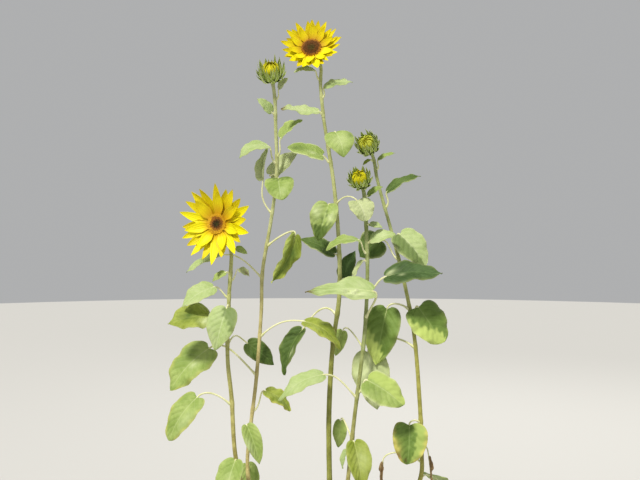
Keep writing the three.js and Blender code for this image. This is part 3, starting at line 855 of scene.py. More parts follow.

# %% [markdown]
# ### The rear stem's leaves
# The upper ones are small, pale and held up to the light. Lower down they stand far out on long
# stalks and begin to turn yellow. Painted shade and painted sunlight lie over parts of some of
# them.

# %% The rear stem's leaves
LEAVES["left_rear"] = [
    (940, (9, -9, 36), (44, -8, 34), 40, (-0.4, -0.6, 0.6), 0.08, 28, "fresh",
     {"rim": 0.8}),
    (926, (-18, -6, 34), (-56, -15, -26), 40, (-0.1, -0.6, 0.8), 0.2, 10, "pale",
     {"blunt": 0.4}),
    (900, (-14, 26, 4), (54, 6, 48), 38, (-0.3, -1, 0.4), 0.08, 14, "cream",
     {"blunt": 0.7}),
    (880, (6, -16, 14), (8, -34, -46), 60, (0, -0.8, 0.6), 0.12, 12, "fresh",
     {"blunt": 0.8, "parts": [("painted_shade", -1, 0.1, -0.24, 0.6)],
      "bleached_and_painted_light": [(0.7, 0.2, 0.3, 0.3)]}),
    (826, (-19, 2, 66), (12, 10, 66), 44, (-0.8, -0.7, 0.1), 0.04, 50, "cream",
     {"rim": 1.0}),
    (760, (58, -22, 20), (-48, -10, -94), 46, (0.7, -0.6, 0.3), 0.1, 25, "yellow",
     {"ruffle": 1.6, "yellow": 0.3, "parts": [("painted_sunlight", 0, -1, 0.5, 0.7)],
      "painted_shade": [(0.35, 0.25, 0.5, 0.75), (0.75, 0.1, 0.4, 0.75)]}),
    (696, (-88, 15, 42), (-66, -10, -36), 34, (0, -0.4, 0.9), 0.08, 25, "pale",
     {"rim": 0.8}),
    (576, (92, -34, 32), (70, -12, -54), 52, (0.3, -0.5, 0.9), 0.17, 12, "yellow",
     {"painted_shade": [(0.6, 0.6, 0.3, 0.5)], "yellow": 0.4}),
    (498, (-94, -12, 54), (-74, -26, -80), 72, (-0.3, -0.9, 0.35), 0.1, 8, "fresh",
     {"blunt": 0.6, "yellow": 0.4, "ruffle": 1.5, "painted_shade": [(0.3, -0.5, 0.35, 0.45)],
      "bleached_and_painted_light": [(0.42, 0.25, 0.16, 0.6)]}),
    (425, (26, 5, 38), (50, -5, -40), 44, (0.3, -0.5, 0.8), 0.12, 12, "yellow",
     {"yellow": 0.7, "ruffle": 1.4, "painted_shade": [(0.6, -0.2, 0.5, 0.6)]}),
    (392, (-6, -16, 6), (26, -10, -74), 46, (0.2, -1, 0.1), 0.08, 40, "fresh",
     {"bleached_and_painted_light": [(0.5, -0.7, 0.4, 0.5)]}),
    (296, (-6, 42, 14), (8, 6, -74), 46, (0.3, -0.8, 0.2), 0.12, 15, "fresh", {}),
]
print("left_rear leaves", len(LEAVES["left_rear"]))

# %% [markdown]
# ### The middle stem's leaves
# Those under the bloom are fresh and bright. Those in the thick of the plant are dark, partly
# painted shade, and the lowest two grow to the back. Several carry painted shade and painted
# highlights, the fourth most of all, on its halves, its crease and its tip.

# %% The middle stem's leaves
LEAVES["main"] = [
    (954, (14, -12, 30), (16, -24, -52), 60, (0.1, -0.85, 0.5), 0.1, 8, "fresh",
     {"bleached_and_painted_light": [(0.4, 0, 0.6, 0.3)], "painted_shade": [(0.3, 0.8, 0.25, 0.5)]}),
    (926, (-16, -5, 12), (-70, -10, 14), 50, (0, -0.62, 0.75), 0.06, 14, "fresh",
     {"blunt": 1.0, "rim": 1.2, "bleached_and_painted_light": [(0.3, 0.2, 0.25, 0.5)], "ruffle": 0.6,
      "painted_shade": [(0.75, 0, 0.5, 0.6)]}),
    (844, (41, -32, 3), (16, -14, -40), 54, (0.3, -0.9, 0.3), 0.12, 18, "cream",
     {"blunt": 0.9, "ruffle": 1.4}),
    (834, (-16, -12, 6), (-20, -14, -72), 66, (-0.2, -1, 0.1), 0.1, 35, "fresh",
     {"bleached_and_painted_light": [(0.3, -0.6, 0.35, 0.7), (0.36, 0.55, 0.3, 0.7)],
      "parts": [("painted_shade", 1, 0.08, 0.5, 0.9)],
      "painted_shade": [(0.2, 0.08, 0.1, 0.9), (0.32, 0.16, 0.1, 0.9), (0.42, -0.1, 0.12, 0.9)],
      "ruffle": 1.5}),
    (738, (-10, 12, 4), (-72, 8, 30), 46, (0, -0.6, 0.75), 0.06, 14, "dark",
     {"rim": 0.8}),
    (684, (8, 14, 8), (24, 8, 56), 40, (-0.3, -0.7, 0.5), 0.06, 18, "deep", {}),
    (622, (-70, 24, -34), (-36, -5, -92), 54, (-0.7, -0.7, 0.2), 0.1, 30, "dark",
     {"bleached_and_painted_light": [(0.5, 0.5, 0.2, 0.6)], "ruffle": 1.3}),
    (236, (40, 34, 40), (58, 34, -46), 62, (0.4, 0.5, 0.8), 0.12, 12, "fresh", {}),
    (196, (-34, 40, 34), (-40, 44, -52), 62, (-0.3, 0.6, 0.7), 0.12, 12, "fresh", {}),
]
print("main leaves", len(LEAVES["main"]))

# %% [markdown]
# ### The centre stem's leaves
# Here the largest leaf reaches far to the left, with a crumpled half and a dry tip, and painted
# shade and painted highlights on the crumpled half. The others fill the middle of the plant; the
# fourth is dark green, partly painted shade, and the seventh carries painted sunlight and shade.

# %% The centre stem's leaves
LEAVES["centre"] = [
    (764, (8, -6, 6), (48, -12, 10), 36, (0.1, -0.7, 0.7), 0.1, 18, "pale",
     {"bleached_and_painted_light": [(0.5, 0, 0.6, 0.5)]}),
    (744, (-18, -10, 26), (-64, -20, -20), 38, (0, -0.4, 0.9), 0.16, 12, "fresh",
     {"rim": 0.8}),
    (728, (-10, -6, 0), (-18, -5, -44), 18, (-0.8, -0.6, 0.2), 0.1, 45, "cream", {}),
    (664, (36, -16, 34), (108, -18, 2), 62, (0, -0.65, 0.75), 0.1, 14, "deep",
     {"bleached_and_painted_light": [(0.08, 0.3, 0.22, 0.6), (0.3, -0.2, 0.12, 0.5), (0.98, 0, 0.12, 0.6)],
      "curl": 0.05}),
    (618, (12, -30, 52), (-132, -12, -6), 60, (0, -0.7, 0.7), 0.06, 14, "pale",
     {"blunt": 0.3, "narrow": 0.4, "dry_tip": 1.0, "crumple": 2.0, "curl": 0.06,
      "bleached_and_painted_light": [(0.3, 0.4, 0.36, 1.3), (0.2, -0.4, 0.3, 0.4)],
      "painted_shade": [(0.22, 0.75, 0.13, 0.55), (0.3, 0.42, 0.1, 0.6), (0.36, 0.8, 0.12, 0.5),
                   (0.42, 0.3, 0.12, 0.45), (0.62, 0.5, 0.2, 0.3)]}),
    (560, (-40, 36, 26), (-14, 10, -52), 34, (-0.2, -0.8, 0.3), 0.12, 12, "fresh", {}),
    (470, (18, -8, 24), (70, -20, -46), 66, (0.3, -0.9, 0.4), 0.1, 10, "fresh",
     {"blunt": 0.7, "rim": 0.8, "parts": [("painted_sunlight", 0.3, 1, 0.15, 0.6)], "ruffle": 1.3,
      "painted_shade": [(0.3, -0.4, 0.4, 0.35)]}),
    (460, (-68, -16, 46), (-84, -12, -50), 50, (-0.1, -0.5, 0.9), 0.16, 10, "pale", {}),
    (380, (-22, 38, 24), (-4, 8, -56), 30, (-0.2, -0.9, 0.2), 0.12, 12, "fresh", {}),
    (368, (4, -14, 6), (14, -15, -88), 56, (0.4, -1, 0.1), 0.1, 22, "yellow",
     {"bleached_and_painted_light": [(0.4, 0.3, 0.5, 0.3)]}),
    (352, (-8, -6, 4), (-8, -4, -36), 18, (-0.7, -0.7, 0.1), 0.1, 40, "pale", {}),
]
print("centre leaves", len(LEAVES["centre"]))

# %% [markdown]
# ### The right stem's leaves
# Large round leaves, half of them shaded by the ones above, and an old one whose edge has turned
# yellow and brown. The shade is painted on, as darker tones and marks, and so is the sunlight on
# their lit parts.

# %% The right stem's leaves
LEAVES["right"] = [
    (836, (5, -5, 32), (66, -10, 30), 42, (-0.3, -0.45, 0.85), 0.1, 14, "dark",
     {"rim": 0.6}),
    (770, (10, -10, 12), (50, -12, -64), 70, (0.2, -0.85, 0.55), 0.1, 12, "pale",
     {"blunt": 0.6, "rim": 0.6, "parts": [("painted_shade", 0.1, -1, 0.0, 0.7)]}),
    (732, (-34, 12, 36), (-44, 8, -32), 68, (-0.3, -0.9, 0.3), 0.12, 12, "dark",
     {"rim": 0.8}),
    (632, (-46, -6, 0), (-22, -6, -112), 74, (-0.2, -0.95, 0.2), 0.08, 14, "middle",
     {"blunt": 0.3, "ruffle": 1.6, "parts": [("painted_sunlight", 1.0, -0.3, 0.6, 1.0)]}),
    (616, (12, -18, 20), (46, -18, -70), 80, (0.2, -0.9, 0.4), 0.08, 8, "middle",
     {"blunt": 1.0, "ruffle": 1.3, "parts": [("painted_sunlight", 0.9, -0.4, 0.5, 1.0)]}),
    (554, (-95, 14, -12), (19, -12, -115), 80, (-0.3, -0.9, 0.2), 0.1, 14, "cream",
     {"ruffle": 1.3, "bleached_and_painted_light": [(0.6, 0, 0.7, 0.9)]}),
    (402, (-25, -14, -3), (-6, -20, -74), 76, (-0.1, -1, 0.15), 0.1, 24, "middle",
     {"blunt": 0.7, "yellow": 1.0, "ruffle": 1.6, "parts": [("painted_sunlight", 0, 1, 0.3, 0.6)],
      "withered": [(0.78, -0.85, 0.16, 1.0), (0.9, -0.3, 0.12, 0.9)],
      "yellowed": [(0.6, -0.9, 0.35, 0.9)]}),
    (252, (34, 32, 34), (44, 36, -50), 60, (0.5, 0.5, 0.7), 0.12, 12, "fresh", {}),
]
print("right leaves", len(LEAVES["right"]))

# %% [markdown]
# ### Two withered leaves, and all rows by name
# Low on the right stem two leaves have dried up. Their rows read as the others do. Each row is
# then given the names of its entries, so that the code below can ask for a leaf's tip or tone.

# %% Withered leaves and named rows
DRY_LEAVES = {
    "right": [
        (350, (14, -4, -18), (2, -2, -50), 16, (0.6, -0.8, 0), 0.06, 62, "dry",
         {"ruffle": 2.6, "crumple": 0.25, "curl": 0.1}),
        (322, (-80, -8, 0), (-2, -4, -60), 22, (-0.5, -0.9, 0), -0.06, 66, "dry",
         {"ruffle": 2.6, "crumple": 0.3, "narrow": 0.3, "curl": 0.12}),
    ],
}


def leaf_rows(table):
    return {stem: [Leaf(*row) for row in rows] for stem, rows in table.items()}


leaves = leaf_rows(LEAVES)
dry_leaves = leaf_rows(DRY_LEAVES)
print("leaf rows", sum(len(rows) for rows in leaves.values()))

# %% [markdown]
# ### The blade
# The outline is widest a third of the way up, with heart lobes at the stalk, a drawn-out point
# and small teeth. The blade is folded along its midrib, arched from stalk to tip, puffed up a
# little between its veins, and its margins wave, each leaf in its own way. A flat cut-out with a
# painted leaf would be quicker, but it would look like paper from the side.

# %% Blade sizes
LOBE = 0.1
WIDEST = 0.34
POINTED = 0.9
ROUNDED = 0.5
LEAF_SKIN = 0.28
BLADE_ROWS = 72
BLADE_COLUMNS = 25
TOOTH_SPACING = 5.0
TOOTH_DEPTH = 0.02
MOST_TEETH = 16
MARGIN_WAVE = 0.026
MARGIN_DROOP = 0.14
VEIN_PUFF = 0.009
KEEL_ROUND = 0.1
CRUMPLE_SPOT = (0.3, 0.4, 0.38)
CRUMPLE_HEIGHT = 3.0
BESIDE_RIB = (0.04, 0.3)
PUFFED_LENGTHS = (25, 85)


def blade_profile(t, blunt):
    rise = WIDEST / (1 - WIDEST)
    power = mix(POINTED, ROUNDED, blunt)
    peak = WIDEST ** (power * rise) * (1 - WIDEST) ** power
    return t ** (power * rise) * (1 - t) ** power / peak


def spot(t, u, at_t, at_u, size):
    distance = ((t - at_t) * 2) ** 2 + (u - at_u) ** 2
    return np.exp(-distance / size ** 2)


# %% Swellings, waves and puffs lift a blade off its plain arch
def blade_lift(t, u, half, length, fold, asked, dice):
    spread = np.abs(u)
    side = np.sign(u)
    lift = half * math.sin(fold) * (np.sqrt(spread ** 2 + KEEL_ROUND ** 2) - KEEL_ROUND)
    start = dice.random()
    wave = np.sin(math.tau * (2.1 * t + start + 0.2 * side))
    wave = wave + 0.4 * np.sin(math.tau * (4.7 * t + start * 3 + 0.35 * side))
    strength = MARGIN_WAVE * asked.get("ruffle", 1.0) * dice.uniform(0.7, 1.2)
    lift = lift + wave * strength * length * spread ** 2.2 * smooth_step(t, 0.02, 0.3)
    lift = lift - half * MARGIN_DROOP * spread ** 4
    phase = ((t - VEIN_SWEEP * spread ** VEIN_BOW) * SIDE_VEINS) % 1.0
    beside_rib = smooth_step(spread, *BESIDE_RIB)
    puff = smooth_step(np.abs(phase - 0.5), 0.0, 0.5) * beside_rib
    long_enough = smooth_step(length, *PUFFED_LENGTHS)
    lift = lift + VEIN_PUFF * length * puff * (1 - spread ** 4) * long_enough
    if "crumple" in asked:
        where = spot(t, u, *CRUMPLE_SPOT)
        lumps = np.sin(23 * t + 9 * u) * np.sin(17 * u - 11 * t) + 0.6 * np.sin(41 * t - 13 * u)
        lift = lift + asked["crumple"] * CRUMPLE_HEIGHT * where * lumps * beside_rib
    return lift


# %% The mid skin of a blade
FIRST_ROW = 0.004
LAST_ROW = 0.998
ROW_CROWDING = 1.15
SWAYS = (-0.03, 0.03)
CURLS = (-0.02, 0.03)
UNEVEN_HALVES = 0.05


def blade_skin(base, row, dice):
    asked = row.asked
    arch = row.arch
    axis = vec(row.tip)
    length = np.linalg.norm(axis)
    face_up = square_to(vec(row.face), unit(axis))
    t = mix(FIRST_ROW, LAST_ROW, np.linspace(0, 1, BLADE_ROWS) ** ROW_CROWDING)[:, None]
    u = np.linspace(-1, 1, BLADE_COLUMNS)[None, :]
    across = np.cross(face_up, unit(axis))
    sway = dice.uniform(*SWAYS) * length
    curl = asked.get("curl", dice.uniform(*CURLS)) * length
    centre = (base + t * axis + face_up * arch * length * 4 * t * (1 - t)
              + across * sway * 4 * t * (1 - t) + face_up * curl * smooth_step(t, 0.72, 1.0) ** 2)
    tangent = unit(axis + face_up * arch * length * 4 * (1 - 2 * t))
    up = square_to(np.broadcast_to(face_up, tangent.shape), tangent)
    side = np.cross(up, tangent)
    half = row.width / 2 * blade_profile(t, asked.get("blunt", 0.0))
    half = half * (1 - asked.get("narrow", 0.0) * smooth_step(t, 0.3, 0.62))
    teeth = (t * min(length / TOOTH_SPACING, MOST_TEETH)) % 1.0 - 0.5
    half = half * (1 + TOOTH_DEPTH * teeth * smooth_step(t, 0.12, 0.3))
    uneven = dice.uniform(-UNEVEN_HALVES, UNEVEN_HALVES)
    half = half * (1 + uneven * np.sign(u) * smooth_step(t, 0.0, 0.2))
    angle = math.radians(row.fold)
    spread = np.abs(u)
    lift = blade_lift(t, u, half, length, angle, asked, dice)
    back = length * LOBE * (1 - t) ** 3 * spread ** 2 * np.sqrt(blade_profile(t, 0.0))
    points = (centre[:, None] + side[:, None] * (u * half * np.cos(angle))[..., None]
              + up[:, None] * lift[..., None] - tangent[:, None] * back[..., None])
    return points, t, u, centre, tangent, up


# %% [markdown]
# ### Two skins and an edge
# A real blade is thin but not a sheet of nothing: it has an upper and a lower skin, each with its
# own finish. Both are the mid skin moved out by a hair along its own normal, and a narrow strip
# runs along each side between them, so the leaf looks solid from every angle.


# %% Upper skin, lower skin and the closed edge between them
def add_blade(shape, points, t, u, slots, marks=None, skin=LEAF_SKIN):
    along_rows = np.gradient(points, axis=0)
    along_columns = np.gradient(points, axis=1)
    normal = unit(np.cross(along_rows, along_columns) + 1e-9)
    upper = points + normal * skin
    lower = points - normal * skin
    marks = marks or {}
    place = np.stack([np.broadcast_to(u, points.shape[:2]),
                      np.broadcast_to(t, points.shape[:2])], axis=-1)
    shape.grid(upper, slots[0], place=place, marks=marks, flip=True)
    shape.grid(lower, slots[1], place=place, marks=marks)

    def paired(values, cut, axis):
        return np.stack([values[cut], values[cut]], axis=axis)

    for cut, axis, flip in (((slice(None), 0), 1, True), ((slice(None), -1), 1, False),
                            ((0, slice(None)), 0, True), ((-1, slice(None)), 0, False)):
        edge = np.stack([lower[cut], upper[cut]], axis=axis)
        shape.grid(edge, slots[0], place=paired(place, cut, axis), flip=flip,
                   marks={k: paired(v, cut, axis) for k, v in marks.items()})


# %% [markdown]
# ### Marks on a blade
# Margins turn yellow, tips wither and old spots bleach. Other marks are painted shade, painted
# sunlight and painted highlights, laid where shadows and sun fell on a leaf. Each mark is a share
# from 0 to 1 that is kept in the leaf's points, so it stays where it was seen and no picture is
# needed. Small waves in the place keep its edges from looking drawn.

# %% Marks
MARK_EDGE = 0.16
MARGIN_BAND = (0.8, 1.2)
TIP_BAND = (0.86, 0.97)
RIM_BAND = (0.86, 1.0)
EDGE_BAND = (0.97, 1.0)
EDGE_WITHER = 0.12
USUAL_YELLOW = 0.1
USUAL_RIM = 0.25


def leaf_marks(row, t, u, dice):
    asked = row.asked
    spread = np.abs(u) + 0 * t
    wobble = 0.05 * np.sin(9 * u + 5 * dice.random()) + 0.04 * np.sin(23 * u)
    margin = smooth_step(spread + 0.25 * t + 0.06 * np.sin(31 * t), *MARGIN_BAND)
    tip = smooth_step(t + wobble, *TIP_BAND)
    yellow = margin * asked.get("yellow", USUAL_YELLOW)
    wither = np.maximum(tip * asked.get("dry_tip", 0.0),
                        smooth_step(spread, *EDGE_BAND) * EDGE_WITHER)
    rim = smooth_step(spread, *RIM_BAND) * asked.get("rim", USUAL_RIM)
    # The rim's paleness starts the mark that also carries painted light, and the painted sunlight
    # and painted shade marks start at nothing.
    marks = {"yellowed": yellow, "withered": wither, "bleached_and_painted_light": rim, "painted_shade": 0 * rim,
             "painted_sunlight": 0 * rim}
    # A part paints sunlight or shade over all of a leaf beyond its line.
    for name, along, across, edge, strength in asked.get("parts", []):
        place = along * t + across * u + 0.05 * np.sin(17 * (t + u)) + 0.03 * np.sin(41 * t)
        marks[name] = marks[name] + strength * smooth_step(place, edge, edge + MARK_EDGE)
    for name in MARKS:
        for at_t, at_u, size, strength in asked.get(name, []):
            rough = 1 + 0.3 * np.sin(19 * t + 7 * u) * np.sin(13 * u - 5 * t)
            marks[name] = marks[name] + strength * rough * spot(t, u, at_t, at_u, size)
    return {name: np.clip(values, 0, 1) for name, values in marks.items()}


# %% [markdown]
# ### The stalk
# The stalk leaves its stem squarely, with a thick joint, arches over and runs on under the blade
# as the midrib, thinner and thinner to the tip.

# %% Stalk and midrib in one tube
STALK_THIN = 0.9
STALK_SHARE = 0.008
STALK_FULL = 1.15
STALK_SIDES = 10
STALK_STEPS = 16
STALK_SINK = 1.2
STALK_HANDLE = 0.35
STALK_SWELL = 0.55
STALK_SWELL_REACH = 4
STALK_TAPER = 0.12
RIB_EVERY = 4
RIB_THICKNESS = 0.8
RIB_TIP_RADIUS = 0.12
RIB_SINK = 0.75


def add_stalk(shape, joint, base, stem_thickness, length, centre, tangent, up, slot):
    point, _, stem_tangent = joint
    outward = square_to(base - point, stem_tangent)
    start = point + outward * (stem_thickness + 0.3)
    reach = np.linalg.norm(base - start)
    handles = [start, start + outward * reach * STALK_HANDLE + UP * reach * STALK_HANDLE,
               base - tangent[0] * reach * STALK_HANDLE, base]
    s = np.linspace(0, 1, STALK_STEPS)[:, None]
    curve = (handles[0] * (1 - s) ** 3 + 3 * handles[1] * s * (1 - s) ** 2
             + 3 * handles[2] * s ** 2 * (1 - s) + handles[3] * s ** 3)
    radius = (STALK_THIN + length * STALK_SHARE) * STALK_FULL
    swell = STALK_SWELL * np.exp(-(s[:, 0] * reach / STALK_SWELL_REACH) ** 2)
    thick = radius * (1 + swell - STALK_TAPER * s[:, 0])
    rib = np.arange(2, len(centre) - 2, RIB_EVERY)
    rib_share = rib / (len(centre) - 1)
    rib_radius = radius * RIB_THICKNESS * (1 - rib_share) ** 1.2 + RIB_TIP_RADIUS
    rib_line = centre[rib] - up[rib] * (rib_radius * RIB_SINK)[:, None]
    line = np.vstack([start - outward * STALK_SINK, curve, rib_line])
    radii = np.concatenate([[thick[0]], thick, rib_radius])
    shape.grid(tube_grid(line, radii, STALK_SIDES, UP + outward * 0.1), slot, around=True)


# %% [markdown]
# ### Whole leaves
# A leaf is its blade with its marks, and its stalk. The dice of each leaf start from its own
# name, so a leaf keeps its waves whatever happens to the others.


# %% One leaf, from a row
def leaf_shape(shape, joint, stem_thickness, row, dice, slots=(0, 1, 2)):
    base = joint[0] + vec(row.base)
    points, t, u, centre, tangent, up = blade_skin(base, row, dice)
    add_blade(shape, points, t, u, slots, leaf_marks(row, t, u, dice))
    length = float(np.linalg.norm(row.tip))
    add_stalk(shape, joint, base, stem_thickness, length, centre, tangent, up, slots[2])


made = 0
for stem, rows in leaves.items():
    for number, row in enumerate(rows, start=1):
        dice = random.Random(f"{stem}{number}")
        joint = point_at_height(stem_lines[stem], row.height)
        shape = Shape()
        leaf_shape(shape, joint, stem_radius(stem, joint[1]), row, dice)
        upper_finish, under_finish = leaf_finishes[row.tone]
        piece = shape.build(f"grown_leaf_{stem}_{number}",
                            [upper_finish, under_finish, stalk_finish])
        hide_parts(f"leaf_{stem}_{number}")
        made += 1
print("leaves grown", made)

# %% [markdown]
# ### Withered leaves
# Two old leaves low on the right stem have dried up and hang as brown, crumpled strips. They are
# made as the green leaves are, from rows that fold them hard and crease them.

# %% Dry leaves
for stem, rows in dry_leaves.items():
    for number, row in enumerate(rows, start=1):
        dice = random.Random(f"dry{stem}{number}")
        joint = point_at_height(stem_lines[stem], row.height)
        shape = Shape()
        leaf_shape(shape, joint, stem_radius(stem, joint[1]), row, dice, slots=(0, 0, 1))
        both_faces, _ = leaf_finishes[row.tone]
        piece = shape.build(f"grown_dry_leaf_{stem}_{number}", [both_faces, stalk_finish])
        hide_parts(f"dry_leaf_{stem}_{number}")
print("dry leaves grown", sum(len(rows) for rows in dry_leaves.values()))

# %% [markdown]
# ### Stem pieces
# With the leaf joints known, each stem swells a little at every one, as the real stem does. Shallow
# ribs run up it. Where a stem forks, its tube starts inside its parent and thickens, so that the
# two grow together with no seam to be seen.

# %% Stem shape
STEM_SIDES = 36
STEM_RIBS = 9
RIB_DEPTH = 0.035
JOINT_SWELL = 0.16
JOINT_REACH = 7.0
FORK_SWELL = 0.3
FORK_REACH = 12.0


def swollen_radii(line, radius_of, joint_heights):
    shares = np.linspace(0, 1, len(line))
    swell = np.ones(len(line))
    for height in joint_heights:
        swell += JOINT_SWELL * np.exp(-((line[:, 2] - height) / JOINT_REACH) ** 2)
    return np.array([radius_of(share) for share in shares]) * swell


def ribbed_tube(line, radii):
    grid = tube_grid(line, radii, STEM_SIDES)
    turn = np.arange(STEM_SIDES)[None, :] / STEM_SIDES * math.tau
    gone = np.arange(len(line))[:, None] * LINE_STEP
    drift = 0.8 * np.sin(gone / 61) + 0.5 * np.sin(gone / 23)
    relief = np.cos(STEM_RIBS * turn + drift) + 0.5 * np.cos(4 * turn + gone / 9)
    relief = relief + 0.6 * np.cos(2 * turn - gone / 37)
    return grid + (grid - line[:, None]) * (RIB_DEPTH * relief)[..., None]


# %% Grow the stems
ROOT_SHARES = vec((0.45, 0.85))

for name, line in stem_lines.items():
    heights = [row.height for row in leaves[name]]
    radii = swollen_radii(line, lambda share: stem_radius(name, share), heights)
    if name == "main":
        radii = radii + root_flare(line[:, 2])
    else:
        gone = np.arange(len(line)) * LINE_STEP
        radii = radii * (1 + FORK_SWELL * np.exp(-(gone / FORK_REACH) ** 2))
        root = fork_roots[name]
        line = np.vstack([root, mix(root, line[0], 0.5), line])
        radii = np.concatenate([radii[0] * ROOT_SHARES, radii])
    grid = ribbed_tube(line, radii)
    if name == "main":
        grid[0, :, 2] = 0
    shape = Shape()
    shape.grid(grid, 0, around=True)
    piece = shape.build(f"grown_stem_{name}", [stem_finishes[name]])
    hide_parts(*STEM_NODES[name])
    print(name, "stem grown with", len(shape.faces), "faces")

# %% [markdown]
# ## Heads
# A bloom is a disc of small florets set in the sunflower's spiral, a ring of rays in three layers,
# and green bracts behind. A bud is the same thing still closed: long bracts that curl round a
# yellow-green heart. Both are made round their own axis and then turned to face as they do.

# %% Head sizes
# neck: points up to the head; axis: the way the head faces; leaves: small leaves, as above;
# golden: how far up a front ray must point to get painted shade, a deeper gold;
# open: how far a bud has opened
HEADS = {
    "main": {
        "neck": [(-13, -2, 1014), (-19, -2, 1082), (-19, 2, 1120), (-36, 2, 1148)],
        "axis": (-0.1, -0.88, 0.4),
        "leaves": [
            (1090, (-13, -4, 19), (-40, -5, -6), 28, (0, -0.55, 0.85), 0.14, 10, "pale", {}),
            # This leaf carries a spot of painted shade.
            (1054, (6, -4, 22), (56, -5, 6), 36, (0, -0.55, 0.8), 0.1, 8, "pale",
             {"painted_shade": [(0.4, -0.5, 0.5, 0.6)]}),
            (1022, (-10, -5, 4), (-72, -15, 10), 42, (0.1, -0.55, 0.85), -0.06, 14, "pale",
             {"dry_tip": 1.0, "curl": -0.1, "bleached_and_painted_light": [(0.5, 0, 0.7, 0.4)]}),
        ],
        "bloom": {"disc": 20, "ray": 41, "width": 18, "rays": 13, "cup": 20, "golden": -0.3},
    },
    "left": {
        "neck": [(-200, -15, 664), (-197, -15, 708), (-197, -8, 748), (-208, -6, 786),
                 (-219, -14, 801)],
        "axis": (-0.34, -0.92, 0.08),
        "leaves": [
            (690, (18, 4, 22), (20, -2, -14), 18, (0.3, -0.7, 0.6), 0.1, 14, "cream",
             {"withered": [(0.7, 0, 0.5, 0.8)], "ruffle": 2.0}),
            (704, (-10, -6, 2), (-24, -6, -18), 20, (-0.3, -0.7, 0.6), 0.1, 14, "fresh", {}),
            (752, (10, 6, 2), (22, 2, -12), 18, (0.3, -0.7, 0.6), 0.1, 14, "fresh", {}),
        ],
        "bloom": {"disc": 20, "ray": 61, "width": 23, "rays": 10, "cup": 24, "golden": 0.45},
    },
    "left_rear": {
        "neck": [(-110, 20, 1012), (-111, 19, 1052), (-114, 17, 1078), (-117, 15, 1094)],
        "axis": (-0.05, -0.68, 0.72),
        "leaves": [
            (1054, (8, -4, 22), (20, -5, 20), 20, (-0.3, -0.7, 0.6), 0.1, 10, "cream", {}),
            (1024, (-8, -6, 4), (-28, -8, 26), 26, (0.3, -0.8, 0.5), 0.1, 14, "pale", {}),
        ],
        "bud": {"body": 20, "reach": 32, "heart": 14, "open": 1.0},
    },
    "centre": {
        "neck": [(72, -15, 788), (69, -15, 848), (66, -16, 868), (61, -20, 882)],
        "axis": (-0.2, -0.85, 0.5),
        "leaves": [
            (800, (7, -5, 2), (24, -8, -8), 18, (0.2, -0.7, 0.6), 0.1, 14, "pale", {}),
            (856, (7, -4, 2), (28, -6, 17), 18, (-0.2, -0.7, 0.7), 0.1, 14, "fresh", {}),
        ],
        "bud": {"body": 17, "reach": 27, "heart": 12, "open": 0.9},
    },
    "right": {
        "neck": [(94, 17, 900), (90, 16, 926), (86, 14, 940), (79, 9, 954)],
        "axis": (-0.3, -0.85, 0.45),
        "leaves": [
            (912, (5, -4, 20), (34, -6, 12), 18, (0, -0.5, 0.8), 0.1, 14, "fresh", {}),
            (930, (-9, -4, 2), (-14, -4, -12), 10, (-0.5, -0.7, 0.4), 0.1, 14, "yellow", {}),
        ],
        "bud": {"body": 19, "reach": 31, "heart": 12, "open": 0.3},
    },
}

# %% [markdown]
# ### A head's own frame
# It is far easier to build a bloom lying flat, with its axis straight up, than tilted on the
# plant. So every part of a head is made flat, kept in a list, and turned and moved as a whole at
# the end.


# %% A head's own frame
def head_turn(axis):
    quaternion = Vector((0, 0, 1)).rotation_difference(Vector(axis).normalized())
    return np.array(quaternion.to_matrix())


def to_plant(points, turn, centre):
    return points @ turn.T + centre


# %% [markdown]
# ### A pointed blade
# Rays and bracts are the same kind of shape: a strip that starts at the head, widens, comes to a
# point and bends in an arc on its way. The arc is drawn through three points, each given by how
# far it lies from the head's axis and how high along it. Two shallow furrows run along a ray.

# %% Pointed blade
PETAL_SKIN = 0.2


def ray_outline(t):
    return (0.5 + 0.5 * smooth_step(t, 0.0, 0.4)) * (1 - t ** 2.5) ** 0.85


def bract_outline(t):
    return (1 - t ** 1.6) * (0.85 + 0.5 * t)


def pointed_blade(turn, path, width, outline, trough=0.2, twist=0.0, drift=0.0, size=(18, 9)):
    t = np.linspace(0, 1, size[0])[:, None]
    u = np.linspace(-1, 1, size[1])[None, :]
    start, bend, end = np.array(path, dtype=float)
    reach = start * (1 - t) ** 2 + 2 * bend * t * (1 - t) + end * t ** 2
    way = unit((bend - start) * (1 - t) + (end - bend) * t)
    radial = vec((math.cos(turn), math.sin(turn), 0))
    side = vec((-math.sin(turn), math.cos(turn), 0))
    centre = radial * reach[:, :1] + UP * reach[:, 1:] + side * drift * t ** 2
    up = UP * way[:, :1] - radial * way[:, 1:]
    across = side * np.cos(twist * t) + up * np.sin(twist * t)
    half = width / 2 * np.maximum(outline(t), 0.03)
    lift = half * (trough * u ** 2 + 0.07 * np.cos(3 * math.pi * u) * (1 - u ** 2))
    points = centre[:, None] + across[:, None] * (u * half)[..., None]
    return points + up[:, None] * lift[..., None], t, u


# %% [markdown]
# ### Florets
# The florets stand in the spiral in which every sunflower sets them: each is turned by the golden
# angle from the last, and its distance from the middle grows with the square root of its number.
# Each is a small pointed knob, and the outer ones stand open and taller.

# %% Florets
GOLDEN_TURN = math.pi * (3 - math.sqrt(5))
# how far up the knob, and how thick it is there, as shares of its full size
KNOB = [(0.0, 0.75), (0.45, 1.0), (0.8, 0.62), (1.0, 0.08)]
KNOB_SIDES = 6
KNOB_RADIUS = 0.46
KNOB_SINK = 0.3
KNOB_LEAN = 0.5


